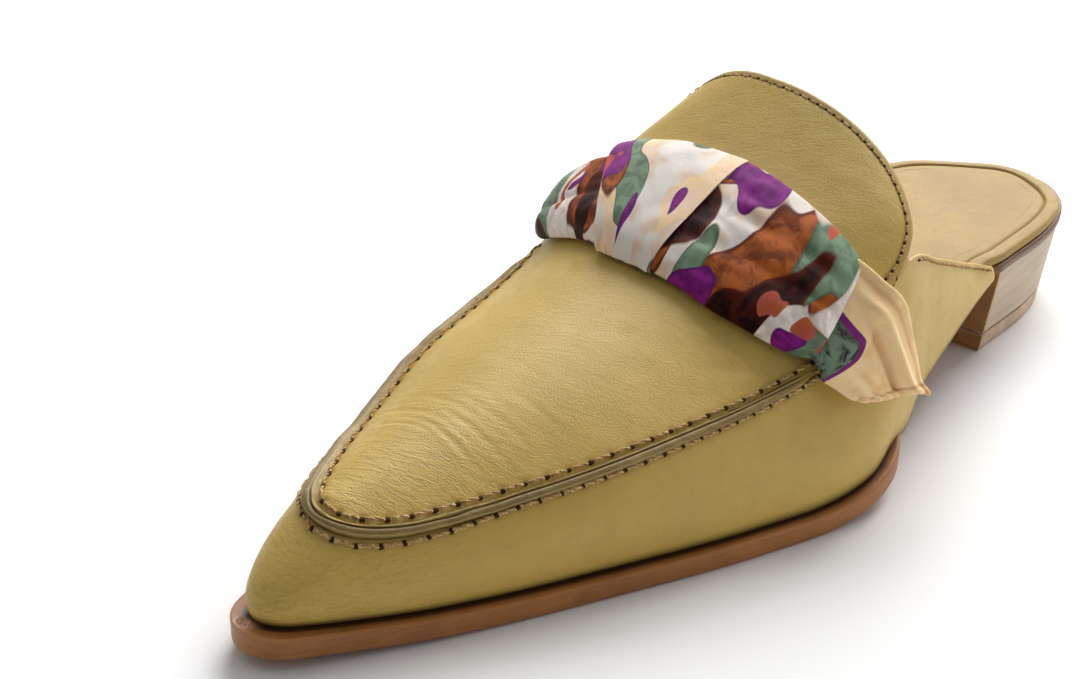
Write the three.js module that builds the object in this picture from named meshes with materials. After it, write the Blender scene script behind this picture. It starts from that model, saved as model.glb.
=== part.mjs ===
// A left pointed-toe loafer mule: backless, with a moccasin seam, a tall tongue and a tied scarf.
// Millimetres. The toe points to -Y, the wearer's left (lateral) side is +X and the ground is z = 0.
// Stations along the shoe are given as d, the distance back from the tip of the outsole.
import * as THREE from 'three';

// Driving dimensions. AXIS_X is the place across the tables' own axis that becomes x = 0.
const LENGTH = 270;
const MID = LENGTH / 2;
const AXIS_X = 3.6;
const TOE_SPRING = 3.2;
const TREAD_FRONT = 55;
const TREAD_BACK = 105;
const SEAT_HEIGHT = 21.5;
const SEAT_RISE = 1.0;
const HEEL_LENGTH = 59.6;
const BREAST = LENGTH - HEEL_LENGTH;
const SOLE_EDGE = 4.7;
const SOLE_EDGE_SEAT = 2.3;
const LIFT = 4.5;
const HEEL_TAPER_SIDE = 1.8;
const HEEL_TAPER_BACK = 3.9;
const HEEL_INSET = 0.5;
const BREAST_LEAN = 2.4;
const INSOLE = 1.7;
const INSOLE_START = 14;
const INSOLE_CLEAR = 1.4;
const INSOLE_SEAT_INSET = 0.8;
const GAP = 0.3;
const WALL = 1.9;
const TONGUE_WALL = 1.8;

// The toe swings towards the inner side, and the middle of the shoulders does so a little all along
const TOE_BEND = -4.5;
const TOE_BEND_END = 110;
const TOE_BEND_POWER = 1.5;
const SHOULDER_SHIFT = -1.4;
const SHOULDER_SLANT = -0.0108;

// Outline of the outsole: reach of each side, which a half sine turns into the half width
const OUTLINE = [
  { d: 0, lateral: 32.4, medial: 32.9 },
  { d: 10, lateral: 27.2, medial: 29.0 },
  { d: 30, lateral: 30.8, medial: 30.4 },
  { d: 60, lateral: 36.8, medial: 36.9 },
  { d: 95, lateral: 44.7, medial: 43.1 },
  { d: 125, lateral: 49.7, medial: 43.0 },
  { d: 165, lateral: 36.7, medial: 36.0 },
  { d: 205, lateral: 34.0, medial: 35.5 },
  { d: 250, lateral: 43.8, medial: 50.0 },
  { d: 270, lateral: 50.0, medial: 47.0 },
];

// Ledge of the outsole that shows around the foot of the upper
const LEDGE = [
  { d: 0, width: 3.8 },
  { d: 12, width: 3.1 },
  { d: 60, width: 2.9 },
  { d: 150, width: 2.4 },
  { d: 190, width: 1.2 },
  { d: 230, width: 0.9 },
];

// Shoulder line: the moccasin seam as far as the scarf, then the top edge of the quarters.
// reach is the half width before its own half sine, z the height above the ground.
const SEAM_START = 19;
const SEAM_SPAN = 224;
const SHOULDER = [
  { d: 19, lateral: 34, medial: 34, zLateral: 24.3, zMedial: 24.3 },
  { d: 26, lateral: 29.2, medial: 29.2, zLateral: 23.1, zMedial: 23.3 },
  { d: 42, lateral: 31.2, medial: 31.2, zLateral: 22.6, zMedial: 23.4 },
  { d: 71, lateral: 36.1, medial: 36.1, zLateral: 25.9, zMedial: 27.6 },
  { d: 106, lateral: 38.6, medial: 38.4, zLateral: 30.2, zMedial: 32.8 },
  { d: 122, lateral: 41.1, medial: 39.8, zLateral: 34.4, zMedial: 37.6 },
  { d: 137, lateral: 42.2, medial: 37.8, zLateral: 42.8, zMedial: 45.6 },
  { d: 149, lateral: 41.6, medial: 35.4, zLateral: 47.2, zMedial: 49.4 },
  { d: 167, lateral: 39.6, medial: 33.0, zLateral: 40.4, zMedial: 42.4 },
  { d: 190, lateral: 39.2, medial: 32.6, zLateral: 30.8, zMedial: 31.6 },
  { d: 204, lateral: 42.6, medial: 34.6, zLateral: 25.2, zMedial: 25.4 },
];

// Crest: the top of the shoe on its centre line, along the apron and on under the tongue
const CREST_START = 24;
const CREST = [
  { d: 24, x: -5.6, z: 26.4 },
  { d: 45, x: -5.2, z: 30.6 },
  { d: 70, x: -4.9, z: 36.4 },
  { d: 95, x: -4.8, z: 42.4 },
  { d: 110, x: -4.8, z: 46.4 },
  { d: 125, x: -5.2, z: 51.8 },
  { d: 140, x: -6.0, z: 58.8 },
  { d: 150, x: -6.8, z: 64.8 },
  { d: 160, x: -7.6, z: 71.6 },
  { d: 172, x: -8.6, z: 79.6 },
];

// Roundness of the sections: how far the side wall swells, and how the top leaves the shoulder
const ROUND = [
  { d: 0, swell: 3.4, inward: 0.3, rise: 0.5, riseMedial: 0.5 },
  { d: 30, swell: 3.4, inward: 0.3, rise: 0.5, riseMedial: 0.5 },
  { d: 70, swell: 3.4, inward: 0.3, rise: 0.5, riseMedial: 0.5 },
  { d: 110, swell: 3.2, inward: 0.26, rise: 0.5, riseMedial: 0.55 },
  { d: 137, swell: 2.0, inward: 0.12, rise: 0.6, riseMedial: 0.75 },
  { d: 160, swell: 1.2, inward: 0.04, rise: 0.7, riseMedial: 0.95 },
  { d: 206, swell: 0.4, inward: 0.04, rise: 0.7, riseMedial: 0.95 },
];

// Handles of the section curves: shares of the wall's height and of the top's width
const WALL_LOW = 0.42;
const WALL_HIGH = 0.22;
const WALL_SWELL_HIGH = 0.9;
const CREST_FLAT = 0.42;

// How much longer the curved sections are than straight ones
const WALL_BOW = 1.06;
const TOP_BOW = 1.04;

// Raised seam: a double roll that stands on the shoulder line and fades out under the scarf
const SEAM_ROLLS = [
  { s: -3.4, h: 0.0 },
  { s: -2.6, h: 1.0 },
  { s: -1.4, h: 1.6 },
  { s: 0.0, h: 1.0 },
  { s: 1.3, h: 1.5 },
  { s: 2.4, h: 0.7 },
  { s: 3.2, h: 0.0 },
];
const SEAM_FADE_FROM = 108;
const SEAM_FADE_TO = 117;
const SEAM_HALF_WIDTH = 3.6;
const SEAM_WALL_SHARE = 0.35;

// Where the upper ends
const UPPER_END = 204;
const THROAT_SIDE = 147;
const THROAT_CREST = 129;
const THROAT_PULL_FROM = 90;

// Tongue: reach is its half width, as a share of the way from the crest to the shoulder
const TONGUE_FOOT = 120;
const TONGUE_TOP = 161;
const TONGUE_CORNER_LATERAL = 17;
const TONGUE_CORNER_MEDIAL = 13;
const TONGUE_TURN = 2.5;
const TONGUE = [
  { d: 120, reach: 0.93 },
  { d: 140, reach: 0.94 },
  { d: 148, reach: 0.88 },
  { d: 154, reach: 0.8 },
  { d: 162, reach: 0.76 },
];

// Scarf across the vamp: e runs from the crest (0) to the shoulders (1 lateral, -1 medial)
const BAND = [
  { e: -1.0, front: 117, back: 134 },
  { e: -0.6, front: 113, back: 137.5 },
  { e: -0.2, front: 109.2, back: 140 },
  { e: 0.1, front: 106.6, back: 140.5 },
  { e: 0.4, front: 106.8, back: 138.5 },
  { e: 0.7, front: 110.2, back: 136.2 },
  { e: 0.95, front: 115, back: 134.5 },
];
const BAND_WIDTH = 33;
const BAND_MEDIAL = -0.93;
const BAND_LATERAL_FRONT = 0.95;
const BAND_LATERAL_BACK = 0.8;

// Section of the band: t runs from its front to its back, h is the height above the last
const BAND_SECTION = [
  { t: 0.0, h: 1.3 },
  { t: 0.02, h: 3.2 },
  { t: 0.1, h: 5.2 },
  { t: 0.24, h: 6.5 },
  { t: 0.4, h: 6.9 },
  { t: 0.56, h: 7.2 },
  { t: 0.72, h: 7.0 },
  { t: 0.86, h: 6.0 },
  { t: 0.97, h: 4.4 },
  { t: 1.0, h: 3.3 },
  { t: 0.95, h: 2.5 },
  { t: 0.7, h: 2.5 },
  { t: 0.44, h: 2.5 },
  { t: 0.34, h: 0.7 },
  { t: 0.2, h: 0.65 },
  { t: 0.06, h: 0.6 },
];
const BAND_TOP_POINTS = 10;
const BAND_LIFT = 2.5;
const BAND_LIFT_FROM = 115;
const BAND_LIFT_TO = 117.2;
const BAND_MIDDLE = 3;
const BAND_END_SHARE = 0.06;

// Folds of the band: where each crosses the crest, how far it leans, how deep and wide it is
const BAND_FOLDS = [
  { t: 0.22, lean: 0.35, depth: 1.5, width: 0.05 },
  { t: 0.52, lean: 0.3, depth: 1.7, width: 0.05 },
  { t: 0.8, lean: -0.15, depth: 1.2, width: 0.05 },
];

// Wrap of the scarf around the band
const WRAP_LEFT_FRONT = -0.25;
const WRAP_LEFT_BACK = -0.6;
const WRAP_RIGHT = 0.12;
const WRAP_THICK = 2.2;
const WRAP_GAP = 0.45;

// Loose end of the scarf: rows from its top to its bottom, each with its two ends and its lift
const TAIL = [
  { q: 0.0, dFront: 116, eFront: 0.97, dBack: 135, eBack: 0.83, lift: 2.4, liftBack: 2.6 },
  { q: 0.3, dFront: 115, eFront: 1.06, dBack: 137.5, eBack: 1.08, lift: 2.6, liftBack: 3.2 },
  { q: 0.6, dFront: 117, eFront: 1.2, dBack: 138.4, eBack: 1.38, lift: 3.0, liftBack: 2.8 },
  { q: 0.85, dFront: 119, eFront: 1.32, dBack: 139, eBack: 1.6, lift: 3.3, liftBack: 3.2 },
  { q: 1.0, dFront: 121, eFront: 1.38, dBack: 140, eBack: 1.7, lift: 3.4, liftBack: 4.6 },
];
const TAIL_THICK = 1.4;
const TAIL_WAVE = 0.8;

// Reads a smooth curve through one named column of a table, with no overshoot between rows
function through(rows, column, key = 'd') {
  const x = rows.map((row) => row[key]);
  const y = rows.map((row) => row[column]);
  const n = x.length;
  const h = [];
  const slope = [];
  for (let i = 0; i < n - 1; i += 1) {
    h.push(x[i + 1] - x[i]);
    slope.push((y[i + 1] - y[i]) / h[i]);
  }
  const m = new Array(n).fill(0);
  m[0] = slope[0];
  m[n - 1] = slope[n - 2];
  for (let i = 1; i < n - 1; i += 1) {
    if (slope[i - 1] * slope[i] > 0) {
      const a = 2 * h[i] + h[i - 1];
      const b = h[i] + 2 * h[i - 1];
      m[i] = (a + b) / (a / slope[i - 1] + b / slope[i]);
    }
  }
  return (at) => {
    const q = Math.min(Math.max(at, x[0]), x[n - 1]);
    let i = 0;
    while (i < n - 2 && q > x[i + 1]) i += 1;
    const t = (q - x[i]) / h[i];
    const t2 = t * t;
    const t3 = t2 * t;
    return (2 * t3 - 3 * t2 + 1) * y[i] + (t3 - 2 * t2 + t) * h[i] * m[i]
      + (-2 * t3 + 3 * t2) * y[i + 1] + (t3 - t2) * h[i] * m[i + 1];
  };
}

const clamp = (value, low, high) => Math.min(Math.max(value, low), high);
const mix = (a, b, t) => a + (b - a) * t;
const ease = (t) => t * t * (3 - 2 * t);
const ramp = (value, from, to) => ease(clamp((value - from) / (to - from), 0, 1));
const at = (x, d, z) => new THREE.Vector3(x - AXIS_X, d - MID, z);

const outline = { 1: through(OUTLINE, 'lateral'), '-1': through(OUTLINE, 'medial') };
const ledge = through(LEDGE, 'width');
const seamReach = { 1: through(SHOULDER, 'lateral'), '-1': through(SHOULDER, 'medial') };
const seamHeight = { 1: through(SHOULDER, 'zLateral'), '-1': through(SHOULDER, 'zMedial') };
const crestX = through(CREST, 'x');
const crestZ = through(CREST, 'z');
const swell = through(ROUND, 'swell');
const inward = through(ROUND, 'inward');
const rise = { 1: through(ROUND, 'rise'), '-1': through(ROUND, 'riseMedial') };
const seamRoll = through(SEAM_ROLLS, 'h', 's');

// 1 at the tip of the toe, falling to 0 where the toe's own shape ends
const toeShare = (d) => clamp(1 - d / TOE_BEND_END, 0, 1) ** TOE_BEND_POWER;
const toeBend = (d) => TOE_BEND * toeShare(d);
const angleAt = (d) => Math.acos(clamp(1 - d / MID, -1, 1));
const stationAt = (angle) => MID * (1 - Math.cos(angle));

// Underside of the outsole: toe spring, flat tread, arch and heel seat
function underside(d) {
  const spring = TOE_SPRING * clamp((TREAD_FRONT - d) / TREAD_FRONT, 0, 1) ** 2;
  const arch = SEAT_HEIGHT * ease(clamp((d - TREAD_BACK) / (BREAST - TREAD_BACK), 0, 1));
  return spring + arch + SEAT_RISE * clamp((d - BREAST) / HEEL_LENGTH, 0, 1);
}

const soleEdge = (d) => mix(SOLE_EDGE, SOLE_EDGE_SEAT, ramp(d, 150, BREAST));
const soleTop = (d) => underside(d) + soleEdge(d);

// A point of the outsole's outline, moved in by inset
function outlinePoint(angle, side, inset = 0) {
  const plan = (a) => {
    const d = stationAt(a);
    return new THREE.Vector2(toeBend(d) + side * Math.sin(a) * outline[side](d), d);
  };
  const step = 0.01;
  const here = plan(angle);
  const next = plan(Math.min(angle + step, Math.PI));
  const last = plan(Math.max(angle - step, 0));
  if (angle - step < 0) last.set(2 * here.x - next.x, next.y);
  if (angle + step > Math.PI) next.set(2 * here.x - last.x, last.y);
  const along = next.sub(last).normalize();
  return { x: here.x - side * along.y * inset, d: here.y + side * along.x * inset, out: along };
}

// Foot of the upper, on the outsole
function footPoint(angle, side) {
  const p = outlinePoint(angle, side, ledge(stationAt(angle)));
  return at(p.x, p.d, soleTop(p.d) + GAP);
}

// Shoulder line of the upper: the seam, then the top edge
function shoulderPoint(angle, side) {
  const d0 = stationAt(angle);
  const d = d0 + SEAM_START * toeShare(d0);
  const turn = Math.acos(clamp(1 - (2 * (d - SEAM_START)) / SEAM_SPAN, -1, 1));
  const centre = toeBend(d) + SHOULDER_SHIFT + SHOULDER_SLANT * (d - SEAM_START);
  return at(centre + side * Math.sin(turn) * seamReach[side](d), d, seamHeight[side](d));
}

function crestPoint(angle) {
  const d0 = stationAt(angle);
  const d = d0 + CREST_START * toeShare(d0);
  return at(crestX(d), d, crestZ(d));
}

function bezier(a, b, c, d, t) {
  const s = 1 - t;
  return new THREE.Vector3()
    .addScaledVector(a, s * s * s)
    .addScaledVector(b, 3 * s * s * t)
    .addScaledVector(c, 3 * s * t * t)
    .addScaledVector(d, t * t * t);
}

// Side wall of the last between the foot (v = 0) and the shoulder (v = 1)
function wallPoint(angle, side, v) {
  const foot = footPoint(angle, side);
  const top = shoulderPoint(angle, side);
  const plan = outlinePoint(angle, side, 0);
  const out = new THREE.Vector3(side * plan.out.y, -side * plan.out.x, 0);
  const high = top.z - foot.z;
  const bulge = swell(stationAt(angle));
  const low = foot.clone().addScaledVector(out, bulge);
  const up = top.clone().addScaledVector(out, bulge * WALL_SWELL_HIGH);
  low.z += high * WALL_LOW;
  up.z -= high * WALL_HIGH;
  return bezier(foot, low, up, top, v);
}

// Top of the last between the shoulder (w = 0) and the crest (w = 1)
function topPoint(angle, side, w) {
  const low = shoulderPoint(angle, side);
  const crest = crestPoint(angle);
  const flat = crest.clone().sub(low).setZ(0);
  const high = crest.z - low.z;
  const d = stationAt(angle);
  const first = low.clone().addScaledVector(flat, inward(d));
  first.z += high * rise[side](d);
  const last = crest.clone().addScaledVector(flat, -CREST_FLAT);
  return bezier(low, first, last, crest, w);
}

// A point across the last: e = 0 on the crest, +1 or -1 on a shoulder, +2 or -2 at the foot
function acrossPoint(angle, e) {
  const side = e < 0 ? -1 : 1;
  const far = Math.abs(e);
  return far <= 1 ? topPoint(angle, side, 1 - far) : wallPoint(angle, side, 2 - far);
}

// Outward direction of the last at a point given by station and place across
function acrossNormal(angle, e) {
  const step = 0.02;
  const back = acrossPoint(angle + step, e).sub(acrossPoint(angle - step, e));
  const over = acrossPoint(angle, e + step).sub(acrossPoint(angle, e - step));
  return back.cross(over).multiplyScalar(-1).normalize();
}

// Mesh helpers: a list of points and a list of triangles
function grid(rows, columns, point) {
  const points = [];
  const faces = [];
  for (let i = 0; i < rows; i += 1) {
    for (let j = 0; j < columns; j += 1) points.push(point(i, j));
  }
  for (let i = 0; i < rows - 1; i += 1) {
    for (let j = 0; j < columns - 1; j += 1) {
      const a = i * columns + j;
      faces.push([a, a + 1, a + columns + 1], [a, a + columns + 1, a + columns]);
    }
  }
  return { points, faces };
}

function vertexNormals({ points, faces }) {
  const normals = points.map(() => new THREE.Vector3());
  for (const [a, b, c] of faces) {
    const u = points[b].clone().sub(points[a]);
    const n = u.cross(points[c].clone().sub(points[a]));
    normals[a].add(n);
    normals[b].add(n);
    normals[c].add(n);
  }
  return normals.map((n) => n.normalize());
}

// Joins points that lie at the same place
function weld({ points, faces }) {
  const seen = new Map();
  const kept = [];
  const index = points.map((p) => {
    const key = `${p.x.toFixed(4)},${p.y.toFixed(4)},${p.z.toFixed(4)}`;
    if (!seen.has(key)) {
      seen.set(key, kept.length);
      kept.push(p);
    }
    return seen.get(key);
  });
  const clean = faces.map((f) => f.map((i) => index[i]))
    .filter(([a, b, c]) => a !== b && b !== c && c !== a);
  return { points: kept, faces: clean };
}

// Gives an open sheet two skins and joins them along its edges. Points that level names keep
// their height, so that an edge stays on the surface that it stands on.
function thicken(sheet, outer, inner, level = () => false) {
  const normals = vertexNormals(sheet);
  normals.forEach((n, i) => {
    if (level(i)) n.setZ(0).normalize();
  });
  const count = sheet.points.length;
  const points = [
    ...sheet.points.map((p, i) => p.clone().addScaledVector(normals[i], outer(i))),
    ...sheet.points.map((p, i) => p.clone().addScaledVector(normals[i], inner(i))),
  ];
  const faces = [];
  const edges = new Map();
  for (const [a, b, c] of sheet.faces) {
    faces.push([a, b, c], [c + count, b + count, a + count]);
    for (const [p, q] of [[a, b], [b, c], [c, a]]) edges.set(`${p},${q}`, [p, q]);
  }
  for (const [p, q] of edges.values()) {
    if (!edges.has(`${q},${p}`)) faces.push([q, p, p + count], [q, p + count, q + count]);
  }
  return { points, faces };
}

// Skins a row of closed rings and closes both ends, each from one side of the ring to the other
function tube(rings) {
  const n = rings[0].length;
  const points = rings.flat();
  const faces = [];
  for (let i = 0; i < rings.length - 1; i += 1) {
    for (let j = 0; j < n; j += 1) {
      const k = (j + 1) % n;
      const a = i * n + j;
      const b = i * n + k;
      faces.push([a, b, b + n], [a, b + n, a + n]);
    }
  }
  const last = (rings.length - 1) * n;
  for (let i = 0, j = n - 1; i + 1 < j; i += 1, j -= 1) {
    faces.push([i, j, i + 1], [last + i, last + i + 1, last + j]);
    if (i + 1 < j - 1) faces.push([i + 1, j, j - 1], [last + i + 1, last + j - 1, last + j]);
  }
  return { points, faces };
}

function volume({ points, faces }) {
  return faces.reduce((sum, [a, b, c]) => sum
    + points[a].dot(points[b].clone().cross(points[c])) / 6, 0);
}

function mesh(name, shape, look) {
  const welded = weld(shape);
  if (volume(welded) < 0) welded.faces = welded.faces.map(([a, b, c]) => [a, c, b]);
  const geometry = new THREE.BufferGeometry();
  const flat = welded.points.flatMap((p) => [p.x, p.y, p.z]);
  geometry.setAttribute('position', new THREE.BufferAttribute(new Float32Array(flat), 3));
  geometry.setIndex(welded.faces.flat());
  geometry.computeVertexNormals();
  const part = new THREE.Mesh(geometry, new THREE.MeshStandardMaterial(look));
  part.name = name;
  return part;
}

// A flat piece that follows the outline: rows of stations, each with its width and its two skins
function plate(stations, low, high, inset, bevel) {
  const half = (side) => stations.map((a) => ({ a, side }));
  const loop = [...half(1), ...half(-1).slice(1, -1).reverse()];
  const ring = (extra, height) => loop.map(({ a, side }) => {
    const p = outlinePoint(a, side, inset(stationAt(a)) + extra);
    return at(p.x, p.d, height(p.d));
  });
  const rings = [
    ring(bevel, low),
    ring(0, (d) => low(d) + bevel),
    ring(0, (d) => high(d) - bevel),
    ring(bevel, high),
  ];
  const n = loop.length;
  const m = stations.length;
  const points = rings.flat();
  const faces = [];
  for (let r = 0; r < 3; r += 1) {
    for (let j = 0; j < n; j += 1) {
      const k = (j + 1) % n;
      faces.push([r * n + j, r * n + k, (r + 1) * n + k], [r * n + j, (r + 1) * n + k, (r + 1) * n + j]);
    }
  }
  const across = (i) => (i === 0 || i === m - 1 ? i : n - i);
  for (let i = 0; i < m - 1; i += 1) {
    const quad = [i, i + 1, across(i + 1), across(i)];
    const top = quad.map((q) => q + 3 * n);
    faces.push([quad[0], quad[2], quad[1]], [quad[0], quad[3], quad[2]]);
    faces.push([top[0], top[1], top[2]], [top[0], top[2], top[3]]);
  }
  return { points, faces };
}

const spread = (from, to, count) => Array.from({ length: count }, (_, i) => mix(from, to, i / (count - 1)));

// Outsole
function makeOutsole() {
  const flats = [TREAD_FRONT, TREAD_BACK, BREAST].map(angleAt);
  const stations = [...spread(0, Math.PI, 44), ...flats].sort((a, b) => a - b);
  return plate(stations, underside, soleTop, () => 0, 0.5);
}

// Insole: inside the upper as far as its end, then out to the edge of the heel seat
function makeInsole() {
  const stations = spread(angleAt(INSOLE_START), Math.PI, 44);
  const hidden = (d) => ledge(d) + WALL + INSOLE_CLEAR;
  const inset = (d) => mix(hidden(d), INSOLE_SEAT_INSET, ramp(d, UPPER_END - 2, UPPER_END + 9));
  return plate(stations, (d) => soleTop(d) + GAP, (d) => soleTop(d) + GAP + INSOLE, inset, 0.6);
}

// Ring of the heel at a height: tapered at the sides and the back, with a breast that leans
function heelRing(z) {
  const drop = clamp((SEAT_HEIGHT - z) / SEAT_HEIGHT, 0, 1);
  const stations = spread(angleAt(BREAST), Math.PI, 15);
  const point = (a, side) => {
    const p = outlinePoint(a, side, HEEL_INSET + HEEL_TAPER_SIDE * drop);
    const back = (p.d - BREAST) / HEEL_LENGTH;
    const d = p.d - BREAST_LEAN * drop * (1 - back) - (HEEL_TAPER_BACK - HEEL_TAPER_SIDE) * drop * back;
    const lid = z >= SEAT_HEIGHT ? SEAT_RISE * clamp(back, 0, 1) - GAP : 0;
    return at(p.x, d, z + lid);
  };
  const lateral = stations.map((a) => point(a, 1));
  const medial = stations.slice(0, -1).reverse().map((a) => point(a, -1));
  return [...lateral, ...medial];
}

const makeHeelBlock = () => tube([heelRing(LIFT + GAP), heelRing(SEAT_HEIGHT)]);
const makeTopPiece = () => tube([heelRing(0), heelRing(LIFT)]);

// Upper: side walls, raised seam and apron as one sheet, then given its thickness
function makeUpper() {
  const stations = spread(0, angleAt(UPPER_END), 34);
  const throatRow = stations.findIndex((a) => stationAt(a) > THROAT_SIDE) - 1;
  const wallSteps = [0, 0.16, 0.34, 0.54, 0.76];
  const topSteps = [0.14, 0.32, 0.52, 0.72, 0.88, 1];
  const rolls = SEAM_ROLLS.map((row) => row.s);
  const lines = [];
  for (const side of [1, -1]) {
    stations.forEach((angle, row) => {
      const shoulder = shoulderPoint(angle, side);
      const wallLength = shoulder.distanceTo(footPoint(angle, side)) * WALL_BOW;
      const topLength = shoulder.distanceTo(crestPoint(angle)) * TOP_BOW;
      const squeeze = Math.min(1, (SEAM_WALL_SHARE * wallLength) / SEAM_HALF_WIDTH);
      const edge = 1 - (SEAM_HALF_WIDTH * squeeze) / wallLength;
      const line = wallSteps.map((v) => ({ side, row, part: 'wall', t: v * edge }));
      rolls.filter((s) => s <= 0).forEach((s) => {
        line.push({ side, row, part: 'wall', t: 1 + (s * squeeze) / wallLength, s });
      });
      if (row <= throatRow) {
        const first = SEAM_HALF_WIDTH / topLength;
        rolls.filter((s) => s > 0).forEach((s) => line.push({ side, row, part: 'top', t: s / topLength, s }));
        topSteps.forEach((w) => line.push({ side, row, part: 'top', t: mix(first, 1, w) }));
      }
      lines.push(line);
    });
  }
  const points = [];
  const roll = [];
  const index = lines.map((line) => line.map((mark) => {
    const angle = stations[mark.row];
    const d = stationAt(angle);
    const pull = (THROAT_SIDE - THROAT_CREST) * ramp(d, THROAT_PULL_FROM, THROAT_SIDE);
    const share = mark.part === 'top' ? mark.t ** 1.5 : 0;
    const moved = angleAt(Math.max(d - pull * share, 0));
    const place = mark.part === 'top'
      ? topPoint(moved, mark.side, mark.t)
      : wallPoint(angle, mark.side, mark.t);
    points.push(place);
    const fade = 1 - ramp(place.y + MID, SEAM_FADE_FROM, SEAM_FADE_TO);
    roll.push(mark.s === undefined ? 0 : seamRoll(mark.s) * fade);
    return points.length - 1;
  }));
  const faces = [];
  const perSide = stations.length;
  for (let k = 0; k < 2; k += 1) {
    for (let i = 0; i < perSide - 1; i += 1) {
      const here = index[k * perSide + i];
      const next = index[k * perSide + i + 1];
      const width = Math.min(here.length, next.length);
      for (let j = 0; j < width - 1; j += 1) {
        const quad = [here[j], here[j + 1], next[j + 1], next[j]];
        if (k === 0) faces.push([quad[0], quad[2], quad[1]], [quad[0], quad[3], quad[2]]);
        else faces.push([quad[0], quad[1], quad[2]], [quad[0], quad[2], quad[3]]);
      }
    }
  }
  const heights = new Map();
  points.forEach((p, i) => heights.set(p, roll[i]));
  const feet = new Set(index.map((line) => points[line[0]]));
  const sheet = weld({ points, faces });
  const skin = (i) => heights.get(sheet.points[i]);
  return thicken(sheet, skin, () => -WALL, (i) => feet.has(sheet.points[i]));
}

// Tongue: a broad tab with round corners that lies over the throat
function makeTongue() {
  const rows = 15;
  const columns = 25;
  const reach = through(TONGUE, 'reach');
  const sheet = grid(rows, columns, (i, j) => {
    const c = mix(-1, 1, j / (columns - 1));
    const drop = c < 0 ? TONGUE_CORNER_MEDIAL : TONGUE_CORNER_LATERAL;
    const corner = drop * (1 - (1 - Math.abs(c) ** 3) ** (1 / 3));
    const top = TONGUE_TOP - corner - TONGUE_TURN * c;
    const d = mix(TONGUE_FOOT, top, i / (rows - 1));
    return acrossPoint(angleAt(d), c * reach(d));
  });
  return thicken(sheet, () => GAP + TONGUE_WALL, () => GAP);
}

const bandFront = through(BAND, 'front', 'e');
const bandBack = through(BAND, 'back', 'e');

// A point over the band's ground: e across the shoe, t from front to back, h above the last
function bandPoint(e, t, h) {
  const angle = angleAt(mix(bandFront(e), bandBack(e), t));
  return acrossPoint(angle, e).addScaledVector(acrossNormal(angle, e), h);
}

function foldDepth(e, t) {
  return BAND_FOLDS.reduce((sum, fold) => {
    const off = (t - fold.t - fold.lean * e) / fold.width;
    return sum + fold.depth * Math.exp(-off * off);
  }, 0);
}

// Scarf band: a soft flat roll from the medial seam over the crest to the lateral side
function makeBand() {
  const rings = spread(0, 1, 37).map((u) => {
    const toEnd = Math.min(u, 1 - u) / BAND_END_SHARE;
    const round = Math.sqrt(1 - (1 - clamp(toEnd, 0.05, 1)) ** 2);
    return BAND_SECTION.map(({ t, h }, i) => {
      const e = mix(BAND_MEDIAL, mix(BAND_LATERAL_FRONT, BAND_LATERAL_BACK, t), u);
      const fold = i > 1 && i < BAND_TOP_POINTS - 1 ? foldDepth(e, t) : 0;
      const along = mix(0.5, t, 0.8 + 0.2 * round);
      const station = mix(bandFront(e), bandBack(e), along);
      const overTongue = BAND_LIFT * ramp(station, BAND_LIFT_FROM, BAND_LIFT_TO);
      return bandPoint(e, along, Math.max(mix(BAND_MIDDLE, h - fold, round), overTongue));
    });
  });
  return tube(rings);
}

// Wrap: a strip that goes over the band and grips both of its edges
function makeWrap() {
  const top = BAND_SECTION.slice(0, BAND_TOP_POINTS).map(({ t, h }) => [t * BAND_WIDTH, h]);
  const moved = (by) => top.map(([x, y], i) => {
    const next = top[Math.min(i + 1, top.length - 1)];
    const last = top[Math.max(i - 1, 0)];
    const length = Math.hypot(next[0] - last[0], next[1] - last[1]);
    return [(x - (by * (next[1] - last[1])) / length) / BAND_WIDTH, y + (by * (next[0] - last[0])) / length];
  });
  const inner = moved(WRAP_GAP).reverse();
  const rings = spread(0, 1, 17).map((u) => {
    const puff = WRAP_THICK * (0.55 + 0.45 * Math.sin(Math.PI * u) ** 0.5);
    return [...moved(WRAP_GAP + puff), ...inner].map(([t, h]) => {
      const e = mix(mix(WRAP_LEFT_FRONT, WRAP_LEFT_BACK, clamp(t, 0, 1)), WRAP_RIGHT, u);
      return bandPoint(e, t, h);
    });
  });
  return tube(rings);
}

// Loose end: a thin sheet that hangs over the lateral quarter
function makeTail() {
  const columns = Object.keys(TAIL[0]).filter((key) => key !== 'q');
  const read = Object.fromEntries(columns.map((key) => [key, through(TAIL, key, 'q')]));
  const rows = 11;
  const steps = 11;
  const skin = (extra) => grid(rows, steps, (i, j) => {
    const q = i / (rows - 1);
    const p = j / (steps - 1);
    const d = mix(read.dFront(q), read.dBack(q), p);
    const e = mix(read.eFront(q), read.eBack(q), p);
    const wave = TAIL_WAVE * q * Math.sin(p * Math.PI * 3);
    const angle = angleAt(d);
    const lift = mix(read.lift(q), read.liftBack(q), p ** 3) + wave + extra;
    return acrossPoint(angle, e).addScaledVector(acrossNormal(angle, e), lift);
  });
  const outer = skin(TAIL_THICK);
  const inner = skin(0);
  const sheet = thicken(outer, () => 0, () => 0);
  inner.points.forEach((p, i) => sheet.points[i + inner.points.length].copy(p));
  return sheet;
}

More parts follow.
